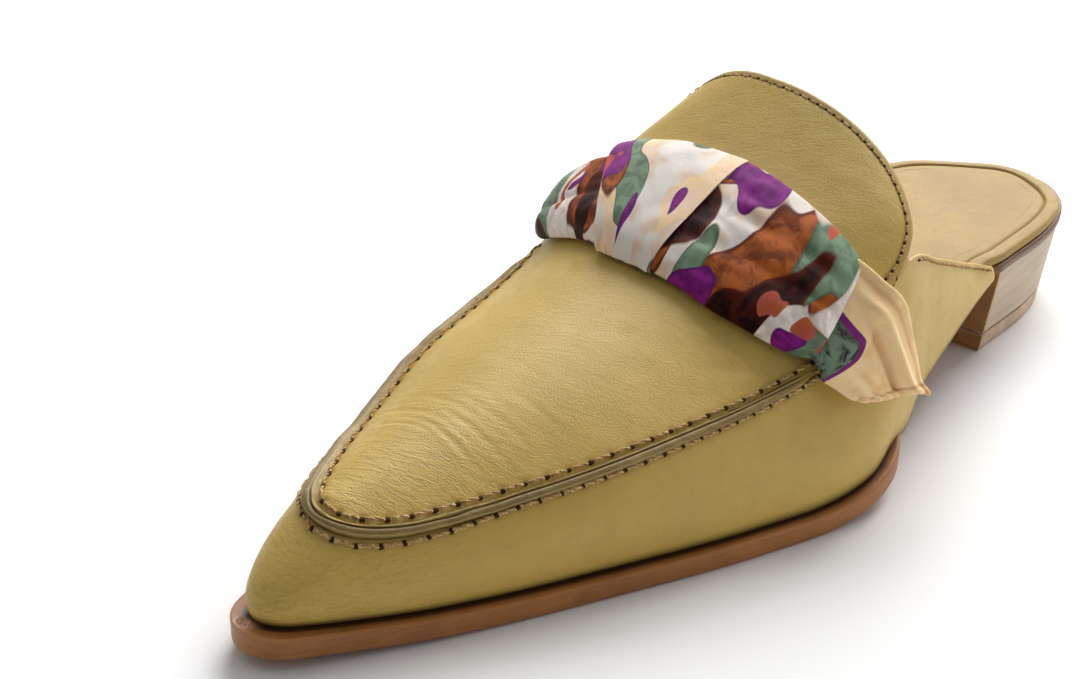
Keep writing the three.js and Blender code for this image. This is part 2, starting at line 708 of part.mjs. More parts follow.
const LEATHER = { color: 0xbeaa6e, roughness: 0.55, metalness: 0 };
const group = new THREE.Group();
group.add(mesh('outsole', makeOutsole(), { color: 0x78482d, roughness: 0.6, metalness: 0 }));
group.add(mesh('heel_block', makeHeelBlock(), { color: 0xb9a594, roughness: 0.7, metalness: 0 }));
group.add(mesh('top_piece', makeTopPiece(), { color: 0x6b4a33, roughness: 0.7, metalness: 0 }));
group.add(mesh('insole', makeInsole(), { color: 0xd4be87, roughness: 0.6, metalness: 0 }));
group.add(mesh('upper', makeUpper(), LEATHER));
group.add(mesh('tongue', makeTongue(), LEATHER));
group.add(mesh('scarf_band', makeBand(), { color: 0x9a4a3a, roughness: 0.5, metalness: 0 }));
group.add(mesh('scarf_wrap', makeWrap(), { color: 0xd8c8b8, roughness: 0.5, metalness: 0 }));
group.add(mesh('scarf_tail', makeTail(), { color: 0xe1b482, roughness: 0.6, metalness: 0 }));

export default group;
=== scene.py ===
"""Dresses the packed pointed loafer mule: leather, raised seam, stitches, insole, heel, scarf and stage."""
import math

import bpy
import numpy as np
from bpy.props import FloatProperty, FloatVectorProperty, PointerProperty
from mathutils import Matrix, Vector


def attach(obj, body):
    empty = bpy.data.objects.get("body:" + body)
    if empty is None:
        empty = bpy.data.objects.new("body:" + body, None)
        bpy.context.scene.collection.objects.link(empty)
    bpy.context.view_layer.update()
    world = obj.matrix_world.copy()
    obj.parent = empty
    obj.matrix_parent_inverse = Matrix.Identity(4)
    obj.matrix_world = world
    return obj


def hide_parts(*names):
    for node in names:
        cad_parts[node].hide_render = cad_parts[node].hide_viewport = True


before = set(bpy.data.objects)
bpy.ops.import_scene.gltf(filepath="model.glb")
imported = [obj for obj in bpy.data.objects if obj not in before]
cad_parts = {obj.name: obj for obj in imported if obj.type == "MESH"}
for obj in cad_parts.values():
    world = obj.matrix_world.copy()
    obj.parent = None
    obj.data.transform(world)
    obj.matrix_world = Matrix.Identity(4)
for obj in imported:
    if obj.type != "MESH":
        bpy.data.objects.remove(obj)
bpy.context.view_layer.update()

BODY = "root"
MM = 0.001    # one millimetre in the metres of the scene
WELD_STEPS = 2000    # points that round to the same 1/2000 mm are joined

bl_info = {
    "name": "Pointed loafer mule",
    "version": (1, 0, 0),
    "blender": (4, 5, 0),
    "location": "3D View > Sidebar > Mule",
    "description": "Builds the leather, seams, stitches, scarf, heel and stage of a pointed loafer mule",
    "category": "Object",
}


def table(columns, *rows):
    """A short table with named columns."""
    names = columns.split()
    return [dict(zip(names, row)) for row in rows]


# Sizes of the last, in millimetres. d is the distance back from the tip of the outsole.
LENGTH = 270
MID = LENGTH / 2
AXIS_X = 3.6
TOE_SPRING = 3.2
TREAD_FRONT, TREAD_BACK = 55, 105
SEAT_HEIGHT, SEAT_RISE = 21.5, 1.0
HEEL_LENGTH = 59.6
BREAST = LENGTH - HEEL_LENGTH
SOLE_EDGE, SOLE_EDGE_SEAT, SOLE_THIN_FROM = 4.7, 2.3, 150
LIFT = 4.5
HEEL_TAPER_SIDE, HEEL_TAPER_BACK = 1.8, 3.9
HEEL_INSET, BREAST_LEAN = 0.5, 2.4
INSOLE_START, INSOLE_CLEAR, INSOLE_SEAT_INSET, INSOLE_BACK_INSET = 14, 1.4, 0.6, 3.8
GAP = 0.3
WALL, WALL_SKIVED = 1.9, 1.0
SOLE_CLEAR = 0.6
TONGUE_WALL = 1.8
TOE_BEND, TOE_BEND_END, TOE_BEND_POWER = -4.5, 110, 1.5
SHOULDER_SHIFT, SHOULDER_SLANT = -1.4, -0.0108

OUTLINE = table(
    "d lateral medial",
    (0, 32.4, 32.9), (10, 27.2, 29.0), (30, 30.8, 30.4), (60, 36.8, 36.9), (95, 44.7, 43.1),
    (125, 49.7, 43.0), (165, 36.7, 36.0), (205, 34.0, 35.5), (250, 43.8, 50.0), (270, 50.0, 47.0),
)
LEDGE = table("d width", (0, 3.8), (12, 3.1), (60, 2.9), (150, 2.4), (190, 1.2), (230, 0.9))
LAP_FROM, LAP_TO = 134, 152    # where the upper comes down over the edge of the sole at the waist
LAP_ABOVE = 0.4
OVERHANG = table("d out", (150, 0.1), (165, 0.9), (185, 0.8), (204, 0.3))
SEAM_START, SEAM_SPAN = 19, 224
SHOULDER = table(
    "d lateral medial z_lateral z_medial",
    (19, 34, 34, 24.3, 24.3), (26, 29.2, 29.2, 23.1, 23.3), (42, 31.2, 31.2, 22.6, 23.4),
    (71, 36.1, 36.1, 25.9, 27.6), (106, 38.6, 38.4, 30.2, 32.8), (122, 41.1, 39.8, 34.4, 37.6),
    (137, 42.2, 37.8, 42.8, 45.6), (149, 41.6, 35.4, 47.2, 49.4), (167, 39.6, 33.0, 40.4, 42.4),
    (190, 39.2, 32.6, 30.8, 31.6), (204, 42.6, 34.6, 25.2, 25.4),
)
CREST_START = 24
CREST = table(
    "d x z",
    (24, -5.6, 26.4), (45, -5.2, 30.6), (70, -4.9, 36.4), (95, -4.8, 42.4), (110, -4.8, 46.4),
    (125, -5.2, 51.8), (140, -6.0, 58.8), (150, -6.8, 64.8), (160, -7.6, 71.6), (172, -8.6, 79.6),
)
ROUND = table(
    "d swell inward rise rise_medial",
    (0, 3.4, 0.3, 0.5, 0.5), (30, 3.4, 0.3, 0.5, 0.5), (70, 3.4, 0.3, 0.5, 0.5),
    (110, 3.2, 0.26, 0.5, 0.55), (137, 2.0, 0.12, 0.6, 0.75), (160, 1.2, 0.04, 0.7, 0.95),
    (206, 0.4, 0.04, 0.7, 0.95),
)
WALL_LOW, WALL_HIGH, WALL_SWELL_HIGH, CREST_FLAT = 0.42, 0.22, 0.9, 0.42
WALL_BOW, TOP_BOW = 1.06, 1.04
UPPER_END, THROAT_SIDE, THROAT_CREST, THROAT_PULL_FROM = 204, 147, 129, 90
SEAM_FADE_FROM, SEAM_FADE_TO = 108, 117
SEAM_WALL_SHARE = 0.35

# Path of the raised seam: turn runs round the toe (0 at the tip, lateral side positive), centre is how
# far the seam lies up onto the apron from the shoulder, reach is from there to either stitch row
SEAM_PATH = table(
    "turn centre reach",
    (-1.5, 0.0, 2.2), (-1.36, 0.3, 2.3), (-1.2, 0.6, 2.4), (-1.0, 0.8, 2.5), (-0.8, 1.1, 2.7),
    (-0.6, 1.5, 3.0), (-0.45, 1.8, 3.3), (-0.3, 1.8, 3.3), (-0.14, 1.1, 3.1), (0.0, -0.5, 2.9),
    (0.1, -1.4, 3.0), (0.2, -2.0, 3.1), (0.3, -2.5, 3.3), (0.4, -2.6, 3.3), (0.48, -2.25, 3.2),
    (0.55, -1.5, 3.1), (0.61, -0.85, 2.9),
    (0.66, -0.1, 2.7), (0.72, 0.5, 2.4), (0.78, 1.05, 2.25), (0.84, 1.25, 2.2), (0.95, 1.3, 2.15),
    (1.1, 1.25, 2.1), (1.2, 1.0, 2.1), (1.29, 0.5, 2.1), (1.4, 0.1, 2.1), (1.5, 0.0, 2.1),
)
# Section of the seam across its half width: a broad outer roll, a groove and a thin inner ridge
SEAM = table(
    "k h",
    (-2.2, 0.0), (-1.6, -0.1), (-1.25, -0.2), (-1.06, 0.0), (-0.95, 0.55), (-0.8, 0.98), (-0.55, 1.2),
    (-0.2, 1.22), (0.1, 1.1), (0.3, 0.85), (0.42, 0.58), (0.53, 0.8), (0.66, 1.0), (0.82, 0.95), (0.95, 0.5),
    (1.06, 0.05), (1.25, -0.16), (1.6, -0.1), (2.2, 0.0),
)
SEAM_COLUMNS = np.concatenate([
    np.linspace(-4.4, -2.2, 6)[:-1], np.linspace(-2.2, 0, 14)[:-1],
    np.linspace(0, 2.2, 14), np.linspace(2.2, 4.4, 6)[1:],
])
SEAM_WIDE, SEAM_NARROW = 3.3, 2.1
SEAM_STITCH_END = 116.5
UPPER_ROWS, WALL_COLUMNS, TOP_COLUMNS = 256, 20, 26
HOLE_DIP, HOLE_DIP_WIDTH = 0.28, 0.9

TONGUE_FOOT, TONGUE_TOP = 120, 161
TONGUE_CORNER_LATERAL, TONGUE_CORNER_MEDIAL, TONGUE_TURN = 17, 13, 2.5
TONGUE = table("d reach", (120, 0.93), (140, 0.94), (148, 0.88), (154, 0.8), (162, 0.76))
TONGUE_ROWS, TONGUE_COLUMNS = 96, 150
TONGUE_ROW_START, TONGUE_CHANNEL = 138, 0.14
TOPLINE_ROW, TOPLINE_ROW_SHARE = 1.15, 0.2
TOPLINE_ROW_FROM, TOPLINE_ROW_TO = 151.5, 202

BAND = table(
    "e front back",
    (-1.0, 117, 134), (-0.6, 113, 137.5), (-0.2, 109.2, 140), (0.1, 106.6, 140.5), (0.4, 106.8, 138.5),
    (0.7, 110.2, 136.2), (0.95, 115, 134.5),
)
BAND_WIDTH = 33
BAND_MEDIAL, BAND_LATERAL_FRONT, BAND_LATERAL_BACK = -0.93, 0.95, 0.8
BAND_SECTION = table(
    "t h",
    (0.0, 1.3), (0.02, 3.2), (0.1, 5.2), (0.24, 6.5), (0.4, 6.9), (0.56, 7.2), (0.72, 7.0), (0.86, 6.0),
    (0.97, 4.4), (1.0, 3.3), (0.95, 2.5), (0.7, 2.5), (0.44, 2.5), (0.34, 0.7), (0.2, 0.65), (0.06, 0.6),
)
BAND_TOP_POINTS = 10
BAND_LIFT, BAND_LIFT_FROM, BAND_LIFT_TO = 2.5, 115, 117.2
BAND_MIDDLE, BAND_END_SHARE = 3, 0.06
BAND_FOLDS = table(
    "t lean depth width", (0.22, 0.35, 1.5, 0.05), (0.52, 0.3, 1.7, 0.05), (0.8, -0.15, 1.2, 0.05)
)
WRAP_LEFT_FRONT, WRAP_LEFT_BACK, WRAP_RIGHT = -0.25, -0.6, 0.12
WRAP_THICK, WRAP_GAP, WRAP_GAP_RIGHT = 2.2, 0.45, 0.3
WRAP_FOLDS = table("u lean depth width", (0.16, 0.12, 0.3, 0.05), (0.55, -0.2, 0.25, 0.06))
TAIL = table(
    "q d_front e_front d_back e_back lift lift_back",
    (0.0, 116, 0.97, 135, 0.83, 2.4, 2.6), (0.3, 115, 1.06, 137.5, 1.08, 2.6, 3.2),
    (0.6, 117, 1.2, 138.4, 1.38, 3.0, 2.8), (0.85, 119, 1.32, 139, 1.6, 3.3, 3.2),
    (1.0, 121, 1.38, 140, 1.7, 3.4, 4.6),
)
TAIL_THICK, TAIL_WAVE, TAIL_TUCK = 1.4, 0.8, 0.09
TAIL_ROWS, TAIL_COLUMNS = 90, 90
TAIL_FOLDS = table(
    "p lean height width q_from q_to",
    (0.8, -0.1, 1.2, 0.05, 0.0, 0.2), (0.68, -0.12, -1.1, 0.05, 0.05, 0.3), (0.3, 0.1, 0.7, 0.06, 0.3, 0.7),
)
# Where the cloth of each piece lies in its UV, in mm, and how many mm are one unit of it
UV_MM = 100
BAND_CLOTH, WRAP_CLOTH, TAIL_CLOTH_WIDTH, TAIL_CLOTH_LENGTH = 110, 36, 26, 28
WRAP_CLOTH_START, WRAP_LINING_START = 150, 60

# Rows of the seam: stitch length as a share of the pitch, and the other sizes in mm
SEAM_ROWS = table(
    "name towards share radius hole_length hole_radius",
    ("outer", -1, 0.8, 0.44, 1.5, 0.62), ("inner", 1, 0.76, 0.32, 1.3, 0.5),
)
SEAM_ROW_SINK, SEAM_STITCH_LIFT = 0.05, 0.22

# Creases of the upper: both ends as station d and place across e, then depth and half width
CREASES = table(
    "d0 e0 d1 e1 depth width",
    (31, -0.55, 32.5, 0.2, 0.13, 0.55), (34, -0.2, 35, 0.62, 0.14, 0.6), (37, -0.7, 38, 0.1, 0.12, 0.6),
    (40, -0.1, 42, 0.7, 0.1, 0.65), (43.5, -0.6, 44, 0.3, 0.06, 0.6), (47, 0.0, 49, 0.72, 0.06, 0.7),
    (51, -0.5, 51.5, 0.35, 0.04, 0.7), (56, 0.15, 58, 0.72, 0.05, 0.8), (63, -0.35, 65, 0.4, 0.03, 0.9),
    (6, 1.35, 13, 1.52, 0.12, 0.7), (9, 1.28, 17, 1.4, 0.12, 0.7), (5, 1.55, 12, 1.66, 0.1, 0.7),
    (4, -1.4, 10, -1.5, 0.1, 0.7), (14, 1.5, 24, 1.55, 0.08, 0.8), (8, -1.3, 15, -1.36, 0.1, 0.7),
    (100, -0.62, 108, -0.72, 0.28, 1.4), (98, -0.3, 107, -0.42, 0.22, 1.5), (99, 0.1, 108, 0.06, 0.2, 1.6),
    (101, 0.45, 110, 0.5, 0.24, 1.4), (97, 0.72, 109, 0.84, 0.26, 1.3), (128, 1.35, 143, 1.16, 0.3, 1.8),
    (131, 1.6, 149, 1.4, 0.26, 2.0), (128, -1.35, 142, -1.2, 0.28, 1.8), (132, -1.6, 150, -1.45, 0.24, 2.0),
    (150, 1.3, 163, 1.22, 0.22, 1.6), (150, -1.3, 163, -1.22, 0.22, 1.6), (84, 1.45, 96, 1.6, 0.16, 1.8),
    (60, 1.5, 73, 1.62, 0.12, 1.7),
)
TIP_FROM, TIP_TO = 38, 68              # the apron's wrinkles fade back from the tip between these stations
WALL_TIP_FROM, WALL_TIP_TO = 18, 46    # and the wall's wrinkles between these
BAND_PULL, BAND_PULL_WIDTH = 104, 8    # wrinkles in front of the scarf
SCUFF_X, SCUFF_D, SCUFF_WIDTH = -5.4, 2.4, 1.15


def through(rows, column, key="d"):
    """A smooth curve through one column of a table, with no overshoot between rows."""
    x = np.array([row[key] for row in rows], float)
    y = np.array([row[column] for row in rows], float)
    h = np.diff(x)
    slope = np.diff(y) / h
    m = np.zeros(len(x))
    m[0], m[-1] = slope[0], slope[-1]
    for i in range(1, len(x) - 1):
        if slope[i - 1] * slope[i] > 0:
            a, b = 2 * h[i] + h[i - 1], h[i] + 2 * h[i - 1]
            m[i] = (a + b) / (a / slope[i - 1] + b / slope[i])

    def read(value):
        q = np.clip(value, x[0], x[-1])
        i = np.clip(np.searchsorted(x, q, side="right") - 1, 0, len(x) - 2)
        t = (q - x[i]) / h[i]
        t2, t3 = t * t, t * t * t
        return (
            (2 * t3 - 3 * t2 + 1) * y[i] + (t3 - 2 * t2 + t) * h[i] * m[i]
            + (-2 * t3 + 3 * t2) * y[i + 1] + (t3 - t2) * h[i] * m[i + 1]
        )

    return read


def ramp(value, low, high):
    """Rises softly from 0 at low to 1 at high."""
    t = np.clip((value - low) / (high - low), 0, 1)
    return t * t * (3 - 2 * t)


def mix(a, b, t):
    """Goes from a to b as t goes from 0 to 1."""
    return a + (b - a) * t


def hump(value, width):
    """Stands 1 high at zero and falls softly away to both sides."""
    return np.exp(-((value / width) ** 2))


def unit(v):
    """Vectors of length 1."""
    return v / np.maximum(np.linalg.norm(v, axis=-1, keepdims=True), 1e-12)


def at(x, d, z):
    """A place in the scene, in mm, from a table's x, a station d and a height."""
    return np.stack(np.broadcast_arrays(np.asarray(x) - AXIS_X, np.asarray(d) - MID, z), -1).astype(float)


def two_sided(rows, lateral, medial):
    """Reads the lateral column where side is 1 and the medial one where it is -1."""
    a, b = through(rows, lateral), through(rows, medial)
    return lambda d, side: np.where(side > 0, a(d), b(d))


outline = two_sided(OUTLINE, "lateral", "medial")
ledge, overhang = through(LEDGE, "width"), through(OVERHANG, "out")
shoulder_reach = two_sided(SHOULDER, "lateral", "medial")
shoulder_height = two_sided(SHOULDER, "z_lateral", "z_medial")
crest_x, crest_z = through(CREST, "x"), through(CREST, "z")
swell, inward = through(ROUND, "swell"), through(ROUND, "inward")
rise = two_sided(ROUND, "rise", "rise_medial")
seam_height = through(SEAM, "h", "k")
seam_centre, seam_reach = through(SEAM_PATH, "centre", "turn"), through(SEAM_PATH, "reach", "turn")


def toe_share(d):
    """How much of the toe's sideways bend there is at a station."""
    return np.clip(1 - d / TOE_BEND_END, 0, 1) ** TOE_BEND_POWER


def angle_at(d):
    """The angle round the last that belongs to a station: 0 at the tip, pi at the back."""
    return np.arccos(np.clip(1 - np.asarray(d, float) / MID, -1, 1))


def station_at(angle):
    """The station that belongs to an angle round the last."""
    return MID * (1 - np.cos(angle))


def underside(d):
    """Height of the outsole's underside: toe spring, flat tread, arch and seat."""
    spring = TOE_SPRING * np.clip((TREAD_FRONT - d) / TREAD_FRONT, 0, 1) ** 2
    arch = SEAT_HEIGHT * ramp(d, TREAD_BACK, BREAST)
    return spring + arch + SEAT_RISE * np.clip((d - BREAST) / HEEL_LENGTH, 0, 1)


def sole_top(d):
    """Height of the outsole's top edge."""
    return underside(d) + mix(SOLE_EDGE, SOLE_EDGE_SEAT, ramp(d, SOLE_THIN_FROM, BREAST))


def outline_point(angle, side, inset=0.0):
    """A point of the outsole's outline moved in by inset: x, d and the direction along it."""
    def plan(a):
        d = station_at(a)
        return np.stack([TOE_BEND * toe_share(d) + side * np.sin(a) * outline(d, side), d], -1)

    step = 0.01
    angle, side = np.broadcast_arrays(np.asarray(angle, float), np.asarray(side, float))
    here = plan(angle)
    after, before = plan(np.minimum(angle + step, np.pi)), plan(np.maximum(angle - step, 0))
    for edge, other, moved in ((angle - step < 0, after, before), (angle + step > np.pi, before, after)):
        moved[edge] = np.stack([2 * here[edge][:, 0] - other[edge][:, 0], other[edge][:, 1]], -1)
    along = unit(after - before)
    x = here[..., 0] - side * along[..., 1] * inset
    return x, here[..., 1] + side * along[..., 0] * inset, along


def lap(d):
    """How far the upper comes down over the edge of the sole: 0 in front of the waist, 1 behind it."""
    return ramp(d, LAP_FROM, LAP_TO)


def foot_inset(d):
    """How far inside the outsole's outline the upper meets the sole."""
    return mix(ledge(d), -overhang(d), lap(d))


def foot_point(angle, side):
    """Where the upper meets the sole."""
    x, d, _ = outline_point(angle, side, foot_inset(station_at(angle)))
    return at(x, d, mix(sole_top(d) + GAP, underside(d) + LAP_ABOVE, lap(d)))


def shoulder_point(angle, side):
    """Where the side wall turns over into the top of the last."""
    start = station_at(angle)
    d = start + SEAM_START * toe_share(start)
    turn = np.arccos(np.clip(1 - 2 * (d - SEAM_START) / SEAM_SPAN, -1, 1))
    centre = TOE_BEND * toe_share(d) + SHOULDER_SHIFT + SHOULDER_SLANT * (d - SEAM_START)
    return at(centre + side * np.sin(turn) * shoulder_reach(d, side), d, shoulder_height(d, side))


def crest_point(angle):
    """The ridge line along the top of the last."""
    start = station_at(angle)
    d = start + CREST_START * toe_share(start)
    return at(crest_x(d), d, crest_z(d))


def bezier(a, b, c, d, t):
    """A point on a cubic curve with the given four control points."""
    t = np.asarray(t)[..., None]
    s = 1 - t
    return a * s**3 + b * 3 * s * s * t + c * 3 * s * t * t + d * t**3


def wall_point(angle, side, v):
    """Side wall of the last between the foot (0) and the shoulder (1)."""
    foot, top = foot_point(angle, side), shoulder_point(angle, side)
    along = outline_point(angle, side)[2]
    out = np.stack([side * along[..., 1], -side * along[..., 0], 0 * along[..., 0]], -1)
    high = (top - foot)[..., 2]
    bulge = swell(station_at(angle))[..., None]
    low, up = foot + out * bulge, top + out * bulge * WALL_SWELL_HIGH
    low[..., 2] += high * WALL_LOW
    up[..., 2] -= high * WALL_HIGH
    return bezier(foot, low, up, top, v)


def top_point(angle, side, w):
    """Top of the last between the shoulder (0) and the crest (1)."""
    low, crest = shoulder_point(angle, side), crest_point(angle)
    flat = (crest - low) * np.array([1, 1, 0])
    high = (crest - low)[..., 2]
    d = station_at(angle)
    first = low + flat * inward(d)[..., None]
    first[..., 2] += high * rise(d, side)
    return bezier(low, first, crest - flat * CREST_FLAT, crest, w)


def across_point(angle, e):
    """A point across the last: 0 on the crest, 1 or -1 on a shoulder, 2 or -2 at the foot."""
    angle, e = np.broadcast_arrays(np.asarray(angle, float), np.asarray(e, float))
    side, far = np.where(e < 0, -1.0, 1.0), np.abs(e)
    over = top_point(angle, side, 1 - np.minimum(far, 1))
    down = wall_point(angle, side, 2 - np.maximum(far, 1))
    return np.where((far <= 1)[..., None], over, down)


def across_normal(angle, e, step=0.02):
    """Outward direction of the last at a point across it."""
    back = across_point(angle + step, e) - across_point(angle - step, e)
    over = across_point(angle, e + step) - across_point(angle, e - step)
    return unit(np.cross(over, back))


def seam_share(turn, r):
    """Where a point r from the seam's centre lies across its rolls: -1 and 1 at their edges."""
    wide = (seam_reach(turn) - SEAM_NARROW) / (SEAM_WIDE - SEAM_NARROW)
    return (r - mix(-0.5, 0.3, wide)) / mix(1.2, 1.7, wide)


def beside_seam(turn, r):
    """Place across the last of a point r from the seam's centre."""
    angle, side = np.abs(turn), np.where(turn < 0, -1.0, 1.0)
    s = seam_centre(turn) + r
    shoulder = shoulder_point(angle, side)
    wall = np.linalg.norm(shoulder - foot_point(angle, side), axis=-1) * WALL_BOW
    top = np.linalg.norm(shoulder - crest_point(angle), axis=-1) * TOP_BOW
    return side * (1 - s / np.where(s <= 0, wall, top))


def soft_noise(points, size, seed):
    """Smooth random heights from -1 to 1 with lumps of about the given size in mm."""
    draw = np.random.default_rng(seed)
    total = np.zeros(points.shape[:-1])
    for _ in range(7):
        wave = unit(draw.normal(size=3)) * 2 * np.pi / (size * draw.uniform(0.8, 1.7))
        total += np.sin(points @ wave + draw.uniform(0, 2 * np.pi))
    return total / 4


# Mesh helpers: points in millimetres, faces as rows of indices
def grid_faces(rows, columns, flip=False, closed=False):
    """Quads between the points of a grid."""
    i, j = np.meshgrid(np.arange(rows - 1), np.arange(columns if closed else columns - 1), indexing="ij")
    k = (j + 1) % columns
    quad = np.stack([i * columns + j, i * columns + k, (i + 1) * columns + k, (i + 1) * columns + j], -1)
    quad = quad.reshape(-1, 4)
    return quad[:, ::-1] if flip else quad


def weld(points, faces, marks=None):
    """Joins points that lie at the same place. A quad with a doubled corner becomes a triangle."""
    key = np.round(points * WELD_STEPS).astype(np.int64)
    _, first, index = np.unique(key, axis=0, return_index=True, return_inverse=True)
    index = index.reshape(-1)
    kept = {name: values[first] for name, values in (marks or {}).items()}
    clean = []
    for face in index[np.asarray(faces)].tolist():
        face = [v for n, v in enumerate(face) if v != face[n - 1]]
        if len(face) > 2 and len(set(face)) == len(face):
            clean.append(face)
    return points[first], clean, kept


def as_quads(faces):
    """Faces as rows of four, with the last corner of a triangle given twice."""
    return np.array([list(f) + [f[-1]] * (4 - len(f)) for f in faces])


def vertex_normals(points, faces):
    """Mean direction of the faces round each point."""
    q = as_quads(faces)
    n = np.cross(points[q[:, 2]] - points[q[:, 0]], points[q[:, 3]] - points[q[:, 1]])
    total = np.zeros_like(points)
    for corner in range(4):
        np.add.at(total, q[:, corner], n)
    return unit(total)


def thicken(points, faces, outer, inner, bulge, level=None, rounds=5):
    """Two skins of a sheet with a rounded edge between. Returns points, faces, source row and skin."""
    normal = vertex_normals(points, faces)
    if level is not None:
        normal[level, 2] = 0
        normal = unit(normal)
    n = len(points)
    top = points + normal * np.broadcast_to(outer, n)[:, None]
    low = points + normal * np.broadcast_to(inner, n)[:, None]
    edges = {}
    for f in faces:
        for a, b in zip(f, f[1:] + f[:1]):
            edges[(a, b)] = True
    border = [(a, b) for a, b in edges if (b, a) not in edges]
    out = np.zeros_like(points)
    for a, b in border:
        side = np.cross(points[b] - points[a], normal[a] + normal[b])
        out[a] += side
        out[b] += side
    rim = sorted({v for pair in border for v in pair})
    place = {v: k for k, v in enumerate(rim)}
    rim = np.array(rim, int)
    out = unit(out[rim])
    bulge = np.broadcast_to(bulge, n)[rim]
    middle, half = (top + low)[rim] / 2, (top - low)[rim] / 2
    reach = out * (np.linalg.norm(half, axis=1) * bulge)[:, None]
    turns = [math.pi * k / rounds for k in range(1, rounds)]
    rings = [middle + half * math.cos(t) + reach * math.sin(t) for t in turns]
    all_points = np.concatenate([top, low, *rings])
    source = np.concatenate([np.arange(n), np.arange(n), *[rim] * len(rings)])
    between = [np.full(len(rim), 0.5 + math.cos(t) / 2) for t in turns]
    skin = np.concatenate([np.ones(n), np.zeros(n), *between])
    made = [list(f) for f in faces] + [[v + n for v in reversed(f)] for f in faces]

    def row(v, k):
        return v if k == 0 else v + n if k == rounds else 2 * n + (k - 1) * len(rim) + place[v]

    for a, b in border:
        made += [[row(b, k), row(a, k), row(a, k + 1), row(b, k + 1)] for k in range(rounds)]
    return all_points, made, source, skin


def closed_tube(points):
    """Skins rows of closed rings and closes both ends to their middles."""
    rows, n = points.shape[:2]
    flat = points.reshape(-1, 3)
    faces = grid_faces(rows, n, closed=True).tolist()
    for row, flip in ((0, True), (rows - 1, False)):
        flat = np.concatenate([flat, points[row].mean(0)[None]])
        here = row * n + np.arange(n)
        after, hub = np.roll(here, -1), np.full(n, len(flat) - 1)
        faces += np.stack([here, hub, after] if flip else [here, after, hub], 1).tolist()
    return flat, faces


def gap_to(points, line, part=60):
    """Distance from each point to the nearest point of a line, worked out in parts to save memory."""
    gap = np.full(len(points), np.inf)
    for start in range(0, len(line), part):
        away = points[:, None] - line[start:start + part]
        gap = np.minimum(gap, np.linalg.norm(away, axis=-1).min(1))
    return gap


def volume(points, faces):
    """Signed volume inside a closed mesh, above 0 when its faces look outward."""
    q = as_quads(faces)
    a, b, c, d = (points[q[:, k]] for k in range(4))
    return (np.einsum("ij,ij->i", a, np.cross(b, c)) + np.einsum("ij,ij->i", a, np.cross(c, d))).sum() / 6


def set_down(name, mesh):
    """Links a finished mesh into the scene as a piece of the body."""
    piece = bpy.data.objects.new(name, mesh)
    bpy.context.scene.collection.objects.link(piece)
    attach(piece, BODY)
    return piece


def make_piece(name, points, faces, material, replaced, marks=None, uv=None, sharp=50):
    """Makes a plain mesh object from millimetres, with its marks, in place of a node of the frame."""
    if volume(points, faces) < 0:
        faces = [list(reversed(f)) for f in faces]
    mesh = bpy.data.meshes.new(name)
    mesh.from_pydata((points * MM).tolist(), [], [list(map(int, f)) for f in faces])
    for mark, values in (marks or {}).items():
        layer = mesh.attributes.new(mark, "FLOAT", "POINT")
        layer.data.foreach_set("value", np.asarray(values, np.float32))
    if uv is not None:
        corner = np.zeros(len(mesh.loops), np.int32)
        mesh.loops.foreach_get("vertex_index", corner)
        layer = mesh.uv_layers.new(name="cloth")
        layer.data.foreach_set("uv", np.asarray(uv, np.float32)[corner].reshape(-1))
    mesh.materials.append(material)
    mesh.shade_smooth()
    mesh.set_sharp_from_angle(angle=math.radians(sharp))
    mesh.validate()
    piece = set_down(name, mesh)
    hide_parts(replaced)
    return piece


class Nodes:
    """Adds nodes to a tree: inputs are values or sockets."""

    def __init__(self, tree):
        self.tree = tree

    def add(self, kind, inputs=None, **settings):
        node = self.tree.nodes.new(kind)
        for key, value in settings.items():
            setattr(node, key, value)
        for key, value in (inputs or {}).items():
            self.feed(node.inputs[key], value)
        return node

    def feed(self, socket, value):
        if isinstance(value, bpy.types.NodeSocket):
            self.tree.links.new(value, socket)
        else:
            socket.default_value = value

    def math(self, operation, a, b=0.0):
        return self.add("ShaderNodeMath", {0: a, 1: b}, operation=operation).outputs[0]

    def vector(self, operation, a, b=(0, 0, 0)):
        return self.add("ShaderNodeVectorMath", {0: a, 1: b}, operation=operation).outputs[0]

    def stretch(self, vector, scale):
        return self.vector("MULTIPLY", vector, scale)

    def total(self, *parts):
        """Adds up values, each times its weight."""
        weighed = [self.math("MULTIPLY", value, weight) for value, weight in parts]
        whole = weighed[0]
        for part in weighed[1:]:
            whole = self.math("ADD", whole, part)
        return whole

    def noise(self, vector, scale, detail=3.0, roughness=0.55, distortion=0.0):
        inputs = {
            "Vector": vector, "Scale": scale, "Detail": detail,
            "Roughness": roughness, "Distortion": distortion,
        }
        return self.add("ShaderNodeTexNoise", inputs)

    def range(self, value, low, high, to_low=0.0, to_high=1.0):
        """Takes a value softly from one span to another."""
        inputs = {0: value, 1: low, 2: high, 3: to_low, 4: to_high}
        return self.add("ShaderNodeMapRange", inputs, interpolation_type="SMOOTHSTEP").outputs[0]

    def blend(self, factor, a, b):
        node = self.add("ShaderNodeMix", {}, data_type="RGBA")
        self.feed(node.inputs[0], factor)
        self.feed(node.inputs[6], a)
        self.feed(node.inputs[7], b)
        return node.outputs[2]

    def attribute(self, name):
        return self.add("ShaderNodeAttribute", attribute_name=name).outputs["Fac"]


def linear(r, g, b):
    """Linear colour from the 0 to 255 values of a screen."""
    def one(c):
        c /= 255
        return c / 12.92 if c <= 0.04045 else ((c + 0.055) / 1.055) ** 2.4
    return (one(r), one(g), one(b))


def rgba(colour, k=1.0):
    """A colour made k times as bright, with full cover."""
    return (*[c * k for c in colour], 1.0)


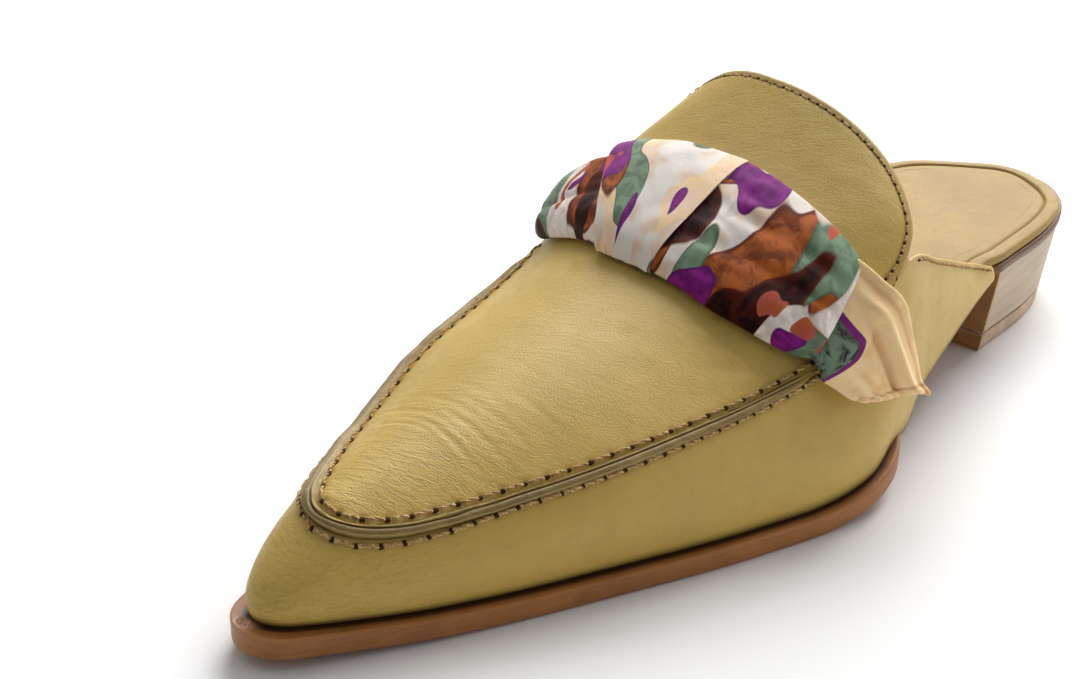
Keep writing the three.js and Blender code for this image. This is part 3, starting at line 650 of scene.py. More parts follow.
def new_material(name, roughness, specular=0.5, sheen=0.0, coat=0.0):
    """A material with its principled shader, and the helper for its tree."""
    material = bpy.data.materials.new(name)
    material.use_nodes = True
    tree = material.node_tree
    shader = tree.nodes["Principled BSDF"]
    shader.inputs["Roughness"].default_value = roughness
    shader.inputs["Specular IOR Level"].default_value = specular
    shader.inputs["Sheen Weight"].default_value = sheen
    shader.inputs["Sheen Roughness"].default_value = 0.45
    shader.inputs["Coat Weight"].default_value = coat
    shader.inputs["Coat Roughness"].default_value = 0.35
    return material, Nodes(tree), shader


def object_mm(nodes):
    """Object coordinates in millimetres."""
    place = nodes.add("ShaderNodeTexCoord").outputs["Object"]
    return nodes.stretch(place, (1000, 1000, 1000))


def finish_bump(nodes, shader, height, depth):
    """Bumps the shader by a height from 0 to 1, depth mm deep."""
    bump = nodes.add("ShaderNodeBump", {"Height": height, "Strength": 1.0, "Distance": depth * MM})
    nodes.tree.links.new(bump.outputs[0], shader.inputs["Normal"])


def upper_leather(name, colours):
    """Satin leather with a fine grain, crosswise wrinkles that deepen to the toe, and a darker seam."""
    material, n, shader = new_material(name, 0.46, specular=0.32, coat=0.04)
    mm = object_mm(n)
    warp = n.stretch(n.noise(mm, 0.16, detail=2).outputs["Color"], (2.2, 2.2, 2.2))
    warped = n.vector("ADD", mm, warp)
    cells = n.add(
        "ShaderNodeTexVoronoi", {"Vector": n.stretch(warped, (0.8, 1.1, 1.1)), "Scale": 1.7},
        feature="DISTANCE_TO_EDGE",
    ).outputs["Distance"]
    grain = n.range(cells, 0.0, 0.2)
    fine = n.noise(mm, 2.6, detail=3).outputs[0]
    wrinkles = []
    askew = n.add("ShaderNodeMapping", {"Vector": warped, "Rotation": (0, 0, -0.4)}).outputs[0]
    even = n.vector("ADD", mm, n.stretch(warp, (0.5, 0.5, 0.5)))
    drawings = ("wrinkle", askew, (0.13, 1.0, 0.5)), ("wall_wrinkle", even, (0.2, 0.2, 1.25))
    for mark, place, stretch in drawings:
        drawn = n.noise(n.stretch(place, stretch), 1.0, detail=2.2, roughness=0.5).outputs[0]
        crease = n.range(n.math("ABSOLUTE", n.math("SUBTRACT", drawn, 0.5)), 0.0, 0.05, 1.0, 0.0)
        wrinkles.append((n.attribute(mark), drawn, crease))
    waves = n.total(*[(n.range(drawn, 0.3, 0.7), mask) for mask, drawn, _ in wrinkles])
    creviced = n.total(*[(crease, mask) for mask, _, crease in wrinkles])
    broad = n.noise(mm, 0.03, detail=2).outputs[0]
    mottle = n.noise(mm, 0.2, detail=5, roughness=0.65).outputs[0]
    colour = n.blend(n.range(broad, 0.35, 0.65), rgba(colours.leather, 0.96), rgba(colours.leather, 1.04))
    colour = n.blend(n.range(mottle, 0.42, 0.75, 0.0, 0.1), colour, rgba(colours.leather_shade))
    # painted shade: the creases of the wrinkles are darkened
    colour = n.blend(n.math("MULTIPLY", creviced, 0.3), colour, rgba(colours.leather_shade))
    furrows = n.math("MULTIPLY", n.math("SUBTRACT", 1.0, grain), 0.1)
    colour = n.blend(furrows, colour, rgba(colours.leather_shade))
    rubbed = n.noise(n.stretch(mm, (0.5, 0.5, 0.9)), 0.55, detail=4).outputs[0]
    seam_tint = n.blend(n.range(rubbed, 0.38, 0.66), rgba(colours.seam, 0.85), rgba(colours.seam, 1.2))
    colour = n.blend(n.attribute("seam"), colour, seam_tint)
    # painted highlight: a light line along the lower edge of the seam's outer roll
    colour = n.blend(n.math("MULTIPLY", n.attribute("worn"), 0.6), colour, rgba(colours.seam_worn))
    # painted shade from the dark mark: in the seam's grooves, beside its rolls and at the foot where the
    # upper meets the sole
    colour = n.blend(n.attribute("dark"), colour, rgba(colours.hole))
    n.feed(shader.inputs["Base Color"], colour)
    n.feed(shader.inputs["Roughness"], n.range(mottle, 0.3, 0.75, 0.4, 0.52))
    height = n.total((grain, 0.2), (fine, 0.18), (creviced, -0.36), (waves, 0.42))
    finish_bump(n, shader, height, 0.11)
    return material


def lining_leather(name, colours):
    """Smooth cream leather of the insole, softly clouded, with fine pores and a darker groove."""
    material, n, shader = new_material(name, 0.52, specular=0.25)
    mm = object_mm(n)
    broad = n.noise(mm, 0.05, detail=3).outputs[0]
    mottle = n.noise(mm, 0.35, detail=5, roughness=0.62).outputs[0]
    colour = n.blend(n.range(broad, 0.35, 0.65), rgba(colours.insole, 0.9), rgba(colours.insole, 1.08))
    colour = n.blend(n.range(mottle, 0.45, 0.75, 0.0, 0.25), colour, rgba(colours.insole_shade))
    # painted shade in the groove
    colour = n.blend(n.attribute("groove"), colour, rgba(colours.insole_shade))
    n.feed(shader.inputs["Base Color"], colour)
    pores = n.add(
        "ShaderNodeTexVoronoi", {"Vector": mm, "Scale": 1.6}, feature="DISTANCE_TO_EDGE"
    ).outputs["Distance"]
    finish_bump(n, shader, n.total((n.range(pores, 0.0, 0.14), 0.4), (mottle, 0.7)), 0.12)
    return material


def sole_leather(name, colours):
    """Burnished brown sole edge: long faint streaks, a paler rubbed rim and a dark line at the feather."""
    material, n, shader = new_material(name, 0.4, specular=0.4)
    mm = object_mm(n)
    streak = n.noise(n.stretch(mm, (0.25, 0.12, 1.6)), 1.0, detail=4).outputs[0]
    broad = n.noise(mm, 0.06, detail=3).outputs[0]
    colour = n.blend(n.range(broad, 0.35, 0.68), rgba(colours.sole, 0.86), rgba(colours.sole, 1.12))
    colour = n.blend(n.range(streak, 0.46, 0.72, 0.0, 0.3), colour, rgba(colours.sole_dark))
    # painted highlight along the rims of the sole's edge, strongest on its top rim
    colour = n.blend(n.attribute("rubbed"), colour, rgba(colours.sole_light))
    # painted shade along the feather under the upper's foot; the sole is also darker towards the heel seat
    colour = n.blend(n.attribute("dark"), colour, rgba(colours.hole))
    specks = n.noise(mm, 1.7, detail=2).outputs[0]
    scuffed = n.math("MULTIPLY", n.attribute("scuff"), n.range(specks, 0.36, 0.5))
    colour = n.blend(scuffed, colour, rgba(colours.scuff))
    n.feed(shader.inputs["Base Color"], colour)
    n.feed(shader.inputs["Roughness"], n.range(broad, 0.3, 0.7, 0.36, 0.5))
    finish_bump(n, shader, n.total((streak, 0.6), (n.noise(mm, 2.2).outputs[0], 0.3)), 0.09)
    return material


def heel_leather(name, colours):
    """Greyish stacked heel: thin level layers, and a brown breast."""
    material, n, shader = new_material(name, 0.52, specular=0.36)
    mm = object_mm(n)
    layers = n.noise(n.stretch(mm, (0.03, 0.03, 1.5)), 1.0, detail=3, roughness=0.6).outputs[0]
    broad = n.noise(mm, 0.08, detail=3).outputs[0]
    colour = n.blend(n.range(layers, 0.36, 0.66), rgba(colours.heel, 0.9), rgba(colours.heel, 1.06))
    colour = n.blend(n.range(broad, 0.4, 0.7, 0.0, 0.25), colour, rgba(colours.heel_dark))
    breast = n.blend(n.range(broad, 0.3, 0.7), rgba(colours.breast, 0.8), rgba(colours.breast, 1.2))
    colour = n.blend(n.attribute("breast"), colour, breast)
    n.feed(shader.inputs["Base Color"], colour)
    finish_bump(n, shader, n.total((layers, 0.7), (n.noise(mm, 1.4).outputs[0], 0.3)), 0.1)
    return material


def lift_rubber(name, colours):
    """Matt brown rubber of the heel's lift."""
    material, n, shader = new_material(name, 0.6, specular=0.35)
    mm = object_mm(n)
    cloud = n.noise(mm, 0.12, detail=5).outputs[0]
    grit = n.noise(mm, 2.6, detail=2).outputs[0]
    colour = n.blend(n.range(cloud, 0.35, 0.65), rgba(colours.lift, 0.86), rgba(colours.lift, 1.14))
    breast = n.blend(n.range(cloud, 0.35, 0.65), rgba(colours.breast, 0.7), rgba(colours.breast, 1.0))
    n.feed(shader.inputs["Base Color"], n.blend(n.attribute("breast"), colour, breast))
    finish_bump(n, shader, grit, 0.08)
    return material


def weave(n, uv, pitch):
    """Height of a plain weave with the given threads to the millimetre, from the piece's own UV."""
    u, v = (n.add("ShaderNodeSeparateXYZ", {0: uv}).outputs[k] for k in (0, 1))
    a = n.math("SINE", n.math("MULTIPLY", u, pitch * 2 * math.pi))
    b = n.math("SINE", n.math("MULTIPLY", v, pitch * 2 * math.pi))
    return n.math("MULTIPLY", n.math("ADD", a, b), 0.25)


def cloth_uv(n):
    """The piece's UV in millimetres."""
    uv = n.add("ShaderNodeUVMap", uv_map="cloth").outputs[0]
    return n.stretch(uv, (UV_MM, UV_MM, 0))


def printed_satin(name, ground, inks, plane):
    """Satin with a loose watercolour print: brushed shapes in several inks over a pale ground."""
    material, n, shader = new_material(name, 0.5, specular=0.08)
    uv = cloth_uv(n)
    tint = n.noise(uv, 0.09, detail=2).outputs[0]
    colour = n.blend(n.range(tint, 0.46, 0.56), rgba(ground[0]), rgba(ground[1]))
    wash = n.noise(uv, 0.2, detail=6, roughness=0.65, distortion=0.5).outputs[0]
    for k, (ink, pool, size, cover, turn, slim) in enumerate(inks):
        laid = n.add("ShaderNodeMapping", {
            "Vector": uv, "Rotation": (0, 0, turn), "Scale": (1 / size, slim / size, 1.0),
            "Location": (3.7 * k, 1.9 * k, plane + 5.3 * k),
        }).outputs[0]
        shape = n.noise(laid, 1.0, detail=1.2, roughness=0.35, distortion=0.35).outputs[0]
        deep = n.blend(0.7, rgba(ink), rgba(pool))
        body = n.blend(n.range(wash, 0.38, 0.58), deep, rgba(ink, 1.14))
        body = n.blend(n.range(shape, cover + 0.01, cover + 0.035), rgba(pool), body)
        colour = n.blend(n.range(shape, cover, cover + 0.012), colour, body)
    n.feed(shader.inputs["Base Color"], colour)
    soft = n.noise(uv, 0.45, detail=4).outputs[0]
    finish_bump(n, shader, n.total((weave(n, uv, 3.2), 0.6), (soft, 1.0)), 0.14)
    return material


def plain_cloth(name, colours):
    """Peach cloth of the scarf's border, with a plum line round a sage field at its inner end."""
    material, n, shader = new_material(name, 0.62, specular=0.2, sheen=0.12)
    uv = cloth_uv(n)
    cloud = n.noise(uv, 0.14, detail=5).outputs[0]
    colour = n.blend(n.range(cloud, 0.45, 0.8), rgba(colours.peach), rgba(colours.peach_shade))
    field = n.attribute("field")
    ink = n.noise(uv, 0.3, detail=5, distortion=0.8).outputs[0]
    sage = n.blend(n.range(ink, 0.4, 0.65), rgba(colours.sage, 0.8), rgba(colours.maroon, 0.5))
    colour = n.blend(n.range(field, 0.55, 0.6), colour, rgba(colours.plum, 0.8))
    colour = n.blend(n.range(field, 0.78, 0.83), colour, sage)
    # dark lines along the hems, and painted shade in the valleys of the folds and puckers
    colour = n.blend(n.attribute("dark"), colour, rgba(colours.peach_dark))
    n.feed(shader.inputs["Base Color"], colour)
    soft = n.noise(uv, 0.5, detail=4).outputs[0]
    finish_bump(n, shader, n.total((weave(n, uv, 1.7), 0.15), (soft, 1.0)), 0.18)
    return material


def thread_material(name, colour, shade):
    """Waxed twisted thread, darker between its turns."""
    material, n, shader = new_material(name, 0.55, specular=0.4)
    mm = object_mm(n)
    ply = n.noise(mm, 1.6, detail=3).outputs[0]
    n.feed(shader.inputs["Base Color"], n.blend(n.range(ply, 0.35, 0.7), rgba(shade), rgba(colour)))
    finish_bump(n, shader, n.noise(mm, 5.0, detail=2).outputs[0], 0.08)
    return material


def hole_material(name, colours):
    """Dark inside of an awl hole."""
    material, n, shader = new_material(name, 0.8, specular=0.15)
    cloud = n.noise(object_mm(n), 1.2, detail=2).outputs[0]
    n.feed(shader.inputs["Base Color"], n.blend(cloud, rgba(colours.hole, 0.7), rgba(colours.hole, 1.5)))
    return material


# Geometry Nodes: a row of twisted stitches, and a row of awl holes
def input_socket(tree, name, kind, default=None):
    socket = tree.interface.new_socket(name, in_out="INPUT", socket_type=kind)
    if default is not None:
        socket.default_value = default
    return socket.identifier


def row_tree(name, shape_of):
    """A tree that sets one small shape on each point of a row, turned by the row's own directions."""
    tree = bpy.data.node_groups.new(name, "GeometryNodeTree")
    keys = {"Row": input_socket(tree, "Row", "NodeSocketGeometry")}
    for label, default in (("Length", 0.003), ("Radius", 0.0003), ("Arch", 0.0002), ("Unevenness", 0.08)):
        keys[label] = input_socket(tree, label, "NodeSocketFloat", default)
    keys["Seed"] = input_socket(tree, "Seed", "NodeSocketInt", 1)
    keys["Finish"] = input_socket(tree, "Finish", "NodeSocketMaterial")
    tree.interface.new_socket("Made", in_out="OUTPUT", socket_type="NodeSocketGeometry")
    n = Nodes(tree)
    given = n.add("NodeGroupInput").outputs
    shape = shape_of(n, given)

    def row_vector(attribute):
        named = n.add("GeometryNodeInputNamedAttribute", {"Name": attribute}, data_type="FLOAT_VECTOR")
        return named.outputs[0]

    turn = n.add(
        "FunctionNodeAxesToRotation", {0: row_vector("out"), 1: row_vector("along")},
        primary_axis="Z", secondary_axis="X",
    ).outputs[0]
    spread = n.math("SUBTRACT", 1.0, given["Unevenness"]), n.math("ADD", 1.0, given["Unevenness"])
    size = n.add("FunctionNodeRandomValue", data_type="FLOAT")
    n.feed(size.inputs[2], spread[0])
    n.feed(size.inputs[3], spread[1])
    n.feed(size.inputs["Seed"], given["Seed"])
    placed = n.add(
        "GeometryNodeInstanceOnPoints",
        {"Points": given["Row"], "Instance": shape, "Rotation": turn, "Scale": size.outputs[1]},
    ).outputs[0]
    real = n.add("GeometryNodeRealizeInstances", {0: placed}).outputs[0]
    dressed = n.add("GeometryNodeSetMaterial", {"Geometry": real, "Material": given["Finish"]}).outputs[0]
    n.add("NodeGroupOutput", {0: dressed})
    return tree, keys


def twisted_stitch(n, given):
    """Two strands that twist once round each other, arched between two holes."""
    strands = []
    for phase in (0.0, math.pi):
        line = n.add("GeometryNodeCurvePrimitiveLine", {"Start": (-0.5, 0, 0), "End": (0.5, 0, 0)}).outputs[0]
        line = n.add("GeometryNodeResampleCurve", {"Curve": line, "Count": 8}).outputs[0]
        share = n.add("GeometryNodeSplineParameter").outputs["Factor"]
        twist = n.math("ADD", n.math("MULTIPLY", share, 2 * math.pi), phase)
        away = n.math("MULTIPLY", given["Radius"], 0.55)
        rise_up = n.math("MULTIPLY", given["Arch"], n.math("SINE", n.math("MULTIPLY", share, math.pi)))
        place = n.add("ShaderNodeCombineXYZ", {
            0: n.math("MULTIPLY", n.math("SUBTRACT", share, 0.5), given["Length"]),
            1: n.math("MULTIPLY", away, n.math("COSINE", twist)),
            2: n.math("ADD", rise_up, n.math("MULTIPLY", away, n.math("SINE", twist))),
        }).outputs[0]
        bent = n.add("GeometryNodeSetPosition", {"Geometry": line, "Position": place}).outputs[0]
        ring = n.add(
            "GeometryNodeCurvePrimitiveCircle",
            {"Resolution": 5, "Radius": n.math("MULTIPLY", given["Radius"], 0.62)}, mode="RADIUS",
        ).outputs[0]
        strand = n.add("GeometryNodeCurveToMesh", {"Curve": bent, "Profile Curve": ring, "Fill Caps": True})
        strands.append(strand.outputs[0])
    both = n.add("GeometryNodeJoinGeometry")
    for strand in strands:
        n.tree.links.new(strand, both.inputs[0])
    return both.outputs[0]


def awl_hole(n, given):
    """A flat lens that stands for the mouth of a hole."""
    round_sizes = {"Segments": 8, "Rings": 5, "Radius": given["Radius"]}
    ball = n.add("GeometryNodeMeshUVSphere", round_sizes).outputs[0]
    size = n.add("ShaderNodeCombineXYZ", {
        0: n.math("DIVIDE", given["Length"], n.math("MULTIPLY", given["Radius"], 2.0)), 1: 1.0,
        2: n.math("DIVIDE", given["Arch"], given["Radius"]),
    }).outputs[0]
    return n.add("GeometryNodeTransform", {"Geometry": ball, "Scale": size}).outputs[0]


def lay_row(name, tree_and_keys, rows, material, unevenness, seed, **lengths):
    """Turns rows of points with directions into one plain mesh by the given tree, with lengths in mm."""
    tree, keys = tree_and_keys
    points, along, out = (np.concatenate([row[k] for row in rows]) for k in range(3))
    mesh = bpy.data.meshes.new(name)
    mesh.from_pydata((points * MM).tolist(), [], [])
    for label, values in (("along", along), ("out", out)):
        layer = mesh.attributes.new(label, "FLOAT_VECTOR", "POINT")
        layer.data.foreach_set("vector", values.astype(np.float32).reshape(-1))
    holder = bpy.data.objects.new(name + "_row", mesh)
    bpy.context.scene.collection.objects.link(holder)
    modifier = holder.modifiers.new("row", "NODES")
    modifier.node_group = tree
    for label, value in lengths.items():
        modifier[keys[label]] = value * MM
    for label, value in (("Unevenness", unevenness), ("Seed", seed), ("Finish", material)):
        modifier[keys[label]] = value
    bpy.context.view_layer.update()
    evaluated = holder.evaluated_get(bpy.context.evaluated_depsgraph_get())
    plain = bpy.data.meshes.new_from_object(evaluated)
    plain.name = name
    plain.materials.clear()
    plain.materials.append(material)
    plain.shade_smooth()
    bpy.data.objects.remove(holder)
    return set_down(name, plain)


def resample(line, pitch):
    """Row numbers, with their fractions, that step evenly by about pitch along a line of points."""
    steps = np.linalg.norm(np.diff(line, axis=0), axis=1)
    length = np.concatenate([[0], np.cumsum(steps)])
    count = max(2, int(round(length[-1] / pitch)) + 1)
    return np.interp(np.linspace(0, length[-1], count), length, np.arange(len(line)))


def pick_line(values, where):
    """Reads rows of a line at row numbers with fractions."""
    low = np.clip(where.astype(int), 0, len(values) - 2)
    return mix(values[low], values[low + 1], (where - low)[:, None])


def stitch_and_holes(line, normal, pitch, lift):
    """Rows for stitches (middle of each gap) and holes (each end) along a line on a surface."""
    where = resample(line, pitch)
    spots, normals = pick_line(line, where), unit(pick_line(normal, where))
    along = unit(np.diff(spots, axis=0))
    middle, up = (spots[1:] + spots[:-1]) / 2, unit(normals[1:] + normals[:-1])
    slope = np.concatenate([along, along[-1:]])
    return (middle + up * lift, along, up), (spots, slope, normals)


def seam_line(towards, count=900):
    """The stitch row on the outer (-1) or inner (1) side of the seam, from the medial side round the toe."""
    far = float(angle_at(SEAM_STITCH_END))
    turn = np.linspace(-far, far, count)
    e = beside_seam(turn, towards * seam_reach(turn))
    angle = np.abs(turn)
    return across_point(angle, e), across_normal(np.maximum(angle, 0.03), e)


# Pieces
def upper_sheet(rows, wall_columns, top_columns):
    """The upper as one fine sheet: points, faces and marks for seam, station and place across."""
    angle = np.unique(np.append(np.linspace(0, float(angle_at(UPPER_END)), rows), angle_at(THROAT_SIDE)))
    low, high = SEAM_COLUMNS[SEAM_COLUMNS <= 0], SEAM_COLUMNS[SEAM_COLUMNS >= 0]
    points, faces, count = [], [], 0
    marks = {"r": [], "turn": [], "across": [], "station": []}
    for side in (1.0, -1.0):
        turn = angle * side
        wall = np.linalg.norm(shoulder_point(angle, side) - foot_point(angle, side), axis=-1) * WALL_BOW
        top = np.linalg.norm(shoulder_point(angle, side) - crest_point(angle), axis=-1) * TOP_BOW
        squeeze = np.minimum(1, SEAM_WALL_SHARE * wall / -low[0])
        centre = seam_centre(turn)

        def across(s):
            kept = slice(None) if len(s) == len(wall) else throat
            return side * (1 - s / np.where(s <= 0, wall[kept, None], top[kept, None]))

        throat = station_at(angle) <= THROAT_SIDE + 1e-6
        s = centre[:, None] + low * squeeze[:, None]
        plain = np.linspace(0, 1, wall_columns)[:-1]
        e = across(s)
        e = np.concatenate([mix(2 * side, e[:, :1], plain), e], 1)
        r = np.concatenate([np.full((len(angle), len(plain)), -99.0), low + 0 * s[:, :1]], 1)
        blocks = [(np.broadcast_to(angle[:, None], e.shape), e, r)]
        s = centre[throat, None] + high
        e = across(s)
        e = np.concatenate([e, mix(e[:, -1:], 0, np.linspace(0, 1, top_columns)[1:])], 1)
        r = np.concatenate([high + 0 * s[:, :1], np.full((len(s), top_columns - 1), 99.0)], 1)
        d = station_at(angle[throat])[:, None]
        pull = (THROAT_SIDE - THROAT_CREST) * ramp(d, THROAT_PULL_FROM, THROAT_SIDE)
        moved = angle_at(np.maximum(d - pull * np.clip(1 - np.abs(e), 0, 1) ** 1.5, 0))
        blocks.append((moved, e, r))
        for a, e, r in blocks:
            block = across_point(a, np.where(e == 0, 1e-9 * side, e))
            faces.append(grid_faces(*e.shape, flip=side > 0) + count)
            points.append(block.reshape(-1, 3))
            count += e.size
            found = {"r": r, "turn": a * side, "across": e, "station": block[..., 1] + MID}
            for key, values in found.items():
                marks[key].append(values.reshape(-1))
    marks = {key: np.concatenate(values) for key, values in marks.items()}
    return weld(np.concatenate(points), np.concatenate(faces), marks)


def crease_depths(points, sizes):
    """How far each point of the upper sinks or rises for the creases placed by hand."""
    total = np.zeros(len(points))
    for crease in CREASES:
        share = np.linspace(0, 1, 17)
        bow = 0.012 * np.sin(share * np.pi)
        spine = across_point(
            angle_at(mix(crease["d0"], crease["d1"], share)), mix(crease["e0"], crease["e1"], share) + bow
        )
        near = np.flatnonzero(
            ((points > spine.min(0) - 8) & (points < spine.max(0) + 8)).all(1)
        )
        if not len(near):
            continue
        a, b = spine[:-1], spine[1:]
        ab = b - a
        rel = points[near][:, None] - a
        t = np.clip((rel * ab).sum(-1) / (ab * ab).sum(-1), 0, 1)
        gap = np.linalg.norm(rel - t[..., None] * ab, axis=-1)
        nearest = gap.argmin(1)
        run = (nearest + t[np.arange(len(near)), nearest]) / len(a)
        off = gap.min(1) / crease["width"]
        taper = np.sin(np.clip(run, 0.02, 0.98) * np.pi) ** 0.7
        total[near] += crease["depth"] * taper * (0.45 * hump(off - 1.9, 1) - hump(off, 1))
    return total * sizes.crease_depth


def hole_dips(points, sizes):
    """Small dips of the leather round the awl holes of both seam rows."""
    total = np.zeros(len(points))
    for towards in (-1, 1):
        line, normal = seam_line(towards)
        holes = stitch_and_holes(line, normal, sizes.seam_pitch, 0)[1][0]
        for hole in holes:
            near = np.flatnonzero((np.abs(points - hole) < 3).all(1))
            gap = np.linalg.norm(points[near] - hole, axis=1)
            total[near] -= HOLE_DIP * hump(gap, HOLE_DIP_WIDTH)
    return total


def build_upper(sizes, materials):
    points, faces, marks = upper_sheet(UPPER_ROWS, WALL_COLUMNS, TOP_COLUMNS)
    station, across, r, turn = (marks[key] for key in ("station", "across", "r", "turn"))
    fade = 1 - ramp(station, SEAM_FADE_FROM, SEAM_FADE_TO)
    inside = np.abs(r) < 50
    k = np.where(inside, seam_share(turn, np.clip(r, -5, 5)), np.sign(r) * 5)
    wander = 1 + 0.07 * soft_noise(points, 9, 3)
    off_seam = 1 - np.exp(-((np.abs(k) / 1.6) ** 4)) * fade
    free = ramp(2 - np.abs(across), 0.0, 0.15)
    soft = 0.1 * soft_noise(points, 26, 5) + 0.04 * soft_noise(points, 7, 6)
    outer = seam_height(k) * fade * wander + (crease_depths(points, sizes) + soft * free) * off_seam
    outer = outer + hole_dips(points, sizes)
    feet = np.abs(across) > 1.9999
    topline = ramp(r, SEAM_COLUMNS[0], -0.4) * ramp(station, THROAT_SIDE - 12, THROAT_SIDE)
    inner = -mix(WALL, WALL_SKIVED, topline)
    made, faces, source, skin = thicken(points, faces, outer, inner, np.where(feet, 0.0, 0.9), level=feet)

    on_roll = ramp(k, -1.05, -0.9) * (1 - 0.35 * ramp(k, 0.36, 0.5)) * (1 - ramp(k, 0.9, 1.05)) * fade
    # painted shade in the groove between the rolls and in the dips beside them
    valleys = 0.75 * hump(k - 0.43, 0.1) + 0.8 * hump(k + 1.12, 0.13) + 0.6 * hump(k - 1.12, 0.12)
    # painted highlight along the outer roll's lower edge
    worn = hump(k + 0.82, 0.12) * fade
    tip = 1 - ramp(station, TIP_FROM, TIP_TO)
    wall_tip = 1 - ramp(station, WALL_TIP_FROM, WALL_TIP_TO)
    on_top = ramp(np.abs(across), 1.12, 0.98)
    wrinkle = on_top * np.maximum(0.32 + 0.68 * tip, 0.4 * hump(station - BAND_PULL, BAND_PULL_WIDTH))
    wall_wrinkle = (1 - on_top) * (0.08 + 0.72 * wall_tip)
    # painted shade along the foot, where the upper meets the sole
    at_foot = 1 - ramp(2 - np.abs(across), 0.02, 0.06)
    dark = np.clip(valleys * fade + 0.9 * at_foot, 0, 0.92)
    outside = skin > 0.5
    values = {
        "seam": on_roll[source] * outside, "dark": dark[source] * outside, "worn": worn[source] * outside,
        "wrinkle": wrinkle[source], "wall_wrinkle": wall_wrinkle[source],
    }
    return make_piece(
        "upper_leather", made, faces, materials["leather"], "upper", values
    )


def tongue_top(c):
    """Station of the tongue's free end, with its two rounded corners."""
    drop = np.where(c < 0, TONGUE_CORNER_MEDIAL, TONGUE_CORNER_LATERAL)
    corner = drop * (1 - (1 - np.abs(c) ** 3) ** (1 / 3))
    return TONGUE_TOP - corner - TONGUE_TURN * c


tongue_reach = through(TONGUE, "reach")


def tongue_edge(count=400):
    """The tongue's free edge: up the medial side, over the top and down the lateral side."""
    c = np.sin(np.linspace(-np.pi / 2, np.pi / 2, count))
    d = tongue_top(c)
    up = np.linspace(TONGUE_ROW_START, float(d[0]), 40)[:-1]
    down = np.linspace(float(d[-1]), TONGUE_ROW_START, 40)[1:]
    c = np.concatenate([np.full(len(up), -1.0), c, np.full(len(down), 1.0)])
    d = np.concatenate([up, d, down])
    e = c * tongue_reach(d)
    return across_point(angle_at(d), e), across_normal(angle_at(d), e)


def build_tongue(sizes, materials):
    c = np.sin(np.linspace(-np.pi / 2, np.pi / 2, TONGUE_COLUMNS))[None, :]
    share = np.linspace(0, 1, TONGUE_ROWS)[:, None]
    d = mix(TONGUE_FOOT, tongue_top(c), share)
    points = across_point(angle_at(d), c * tongue_reach(d)).reshape(-1, 3)
    points, faces, _ = weld(points, grid_faces(TONGUE_ROWS, TONGUE_COLUMNS, flip=True))
    gap = gap_to(points, tongue_edge()[0])
    normal = vertex_normals(points, faces)
    if normal[:, 2].mean() < 0:
        faces = [f[::-1] for f in faces]
    channel = -TONGUE_CHANNEL * hump(gap - sizes.tongue_row, 0.55)
    soft = 0.12 * soft_noise(points, 22, 11) + 0.04 * soft_noise(points, 6, 12)
    outer = GAP + TONGUE_WALL + channel + soft * ramp(gap, 0, 5)
    made, faces, source, skin = thicken(points, faces, outer, GAP, 0.85)
    edge_dark = 0.7 * np.sqrt(1 - np.abs(skin - 0.5) * 2) * (skin > 0) * (skin < 1)
    # painted shade in the stitch channel along the row
    near_row = 0.3 * hump(gap[source] - sizes.tongue_row, 0.5) * (skin > 0.9)
    values = {
        "seam": 0.25 * (1 - ramp(gap, 0.0, 1.5))[source], "wrinkle": np.full(len(made), 0.3),
        "worn": np.zeros(len(made)), "wall_wrinkle": np.zeros(len(made)),
        "dark": np.clip(edge_dark + near_row, 0, 1),
    }
    return make_piece(
        "tongue_leather", made, faces, materials["leather"], "tongue", values
    )


def flat_plate(stations, profile, inset, columns):
    """A plate on the outline: rings of a profile from its underside to its top, both ends filled across."""
    loop_angle = np.concatenate([stations, stations[1:-1][::-1]])
    loop_side = np.concatenate([np.ones(len(stations)), -np.ones(len(stations) - 2)])
    n, m = len(loop_angle), len(stations)
    rings, weights = [], []
    for extra, height, mark in profile:
        d0 = station_at(loop_angle)
        x, d, _ = outline_point(loop_angle, loop_side, inset(d0) + extra * ramp(d0, -6, 26))
        rings.append(at(x, d, height(d)))
        weights.append(np.full(n, mark))
    points, marks = np.concatenate(rings), np.concatenate(weights)
    faces = [grid_faces(len(rings), n, closed=True)]
    extra_points, extra_marks, count = [points], [marks], len(points)
    opposite = np.concatenate([[0], n - np.arange(1, m - 1), [m - 1]])
    share = (1 - np.cos(np.linspace(0, np.pi, columns)))[None, :, None] / 2
    for ring, flip in ((0, True), (len(rings) - 1, False)):
        left, right = rings[ring][:m], rings[ring][opposite]
        fill = mix(left[:, None], right[:, None], share)
        extra_points.append(fill.reshape(-1, 3))
        extra_marks.append(np.full(fill.shape[0] * fill.shape[1], profile[ring][2]))
        faces.append(grid_faces(m, columns, flip=flip) + count)
        count += fill.shape[0] * fill.shape[1]
    return weld(np.concatenate(extra_points), np.concatenate(faces), {"mark": np.concatenate(extra_marks)})


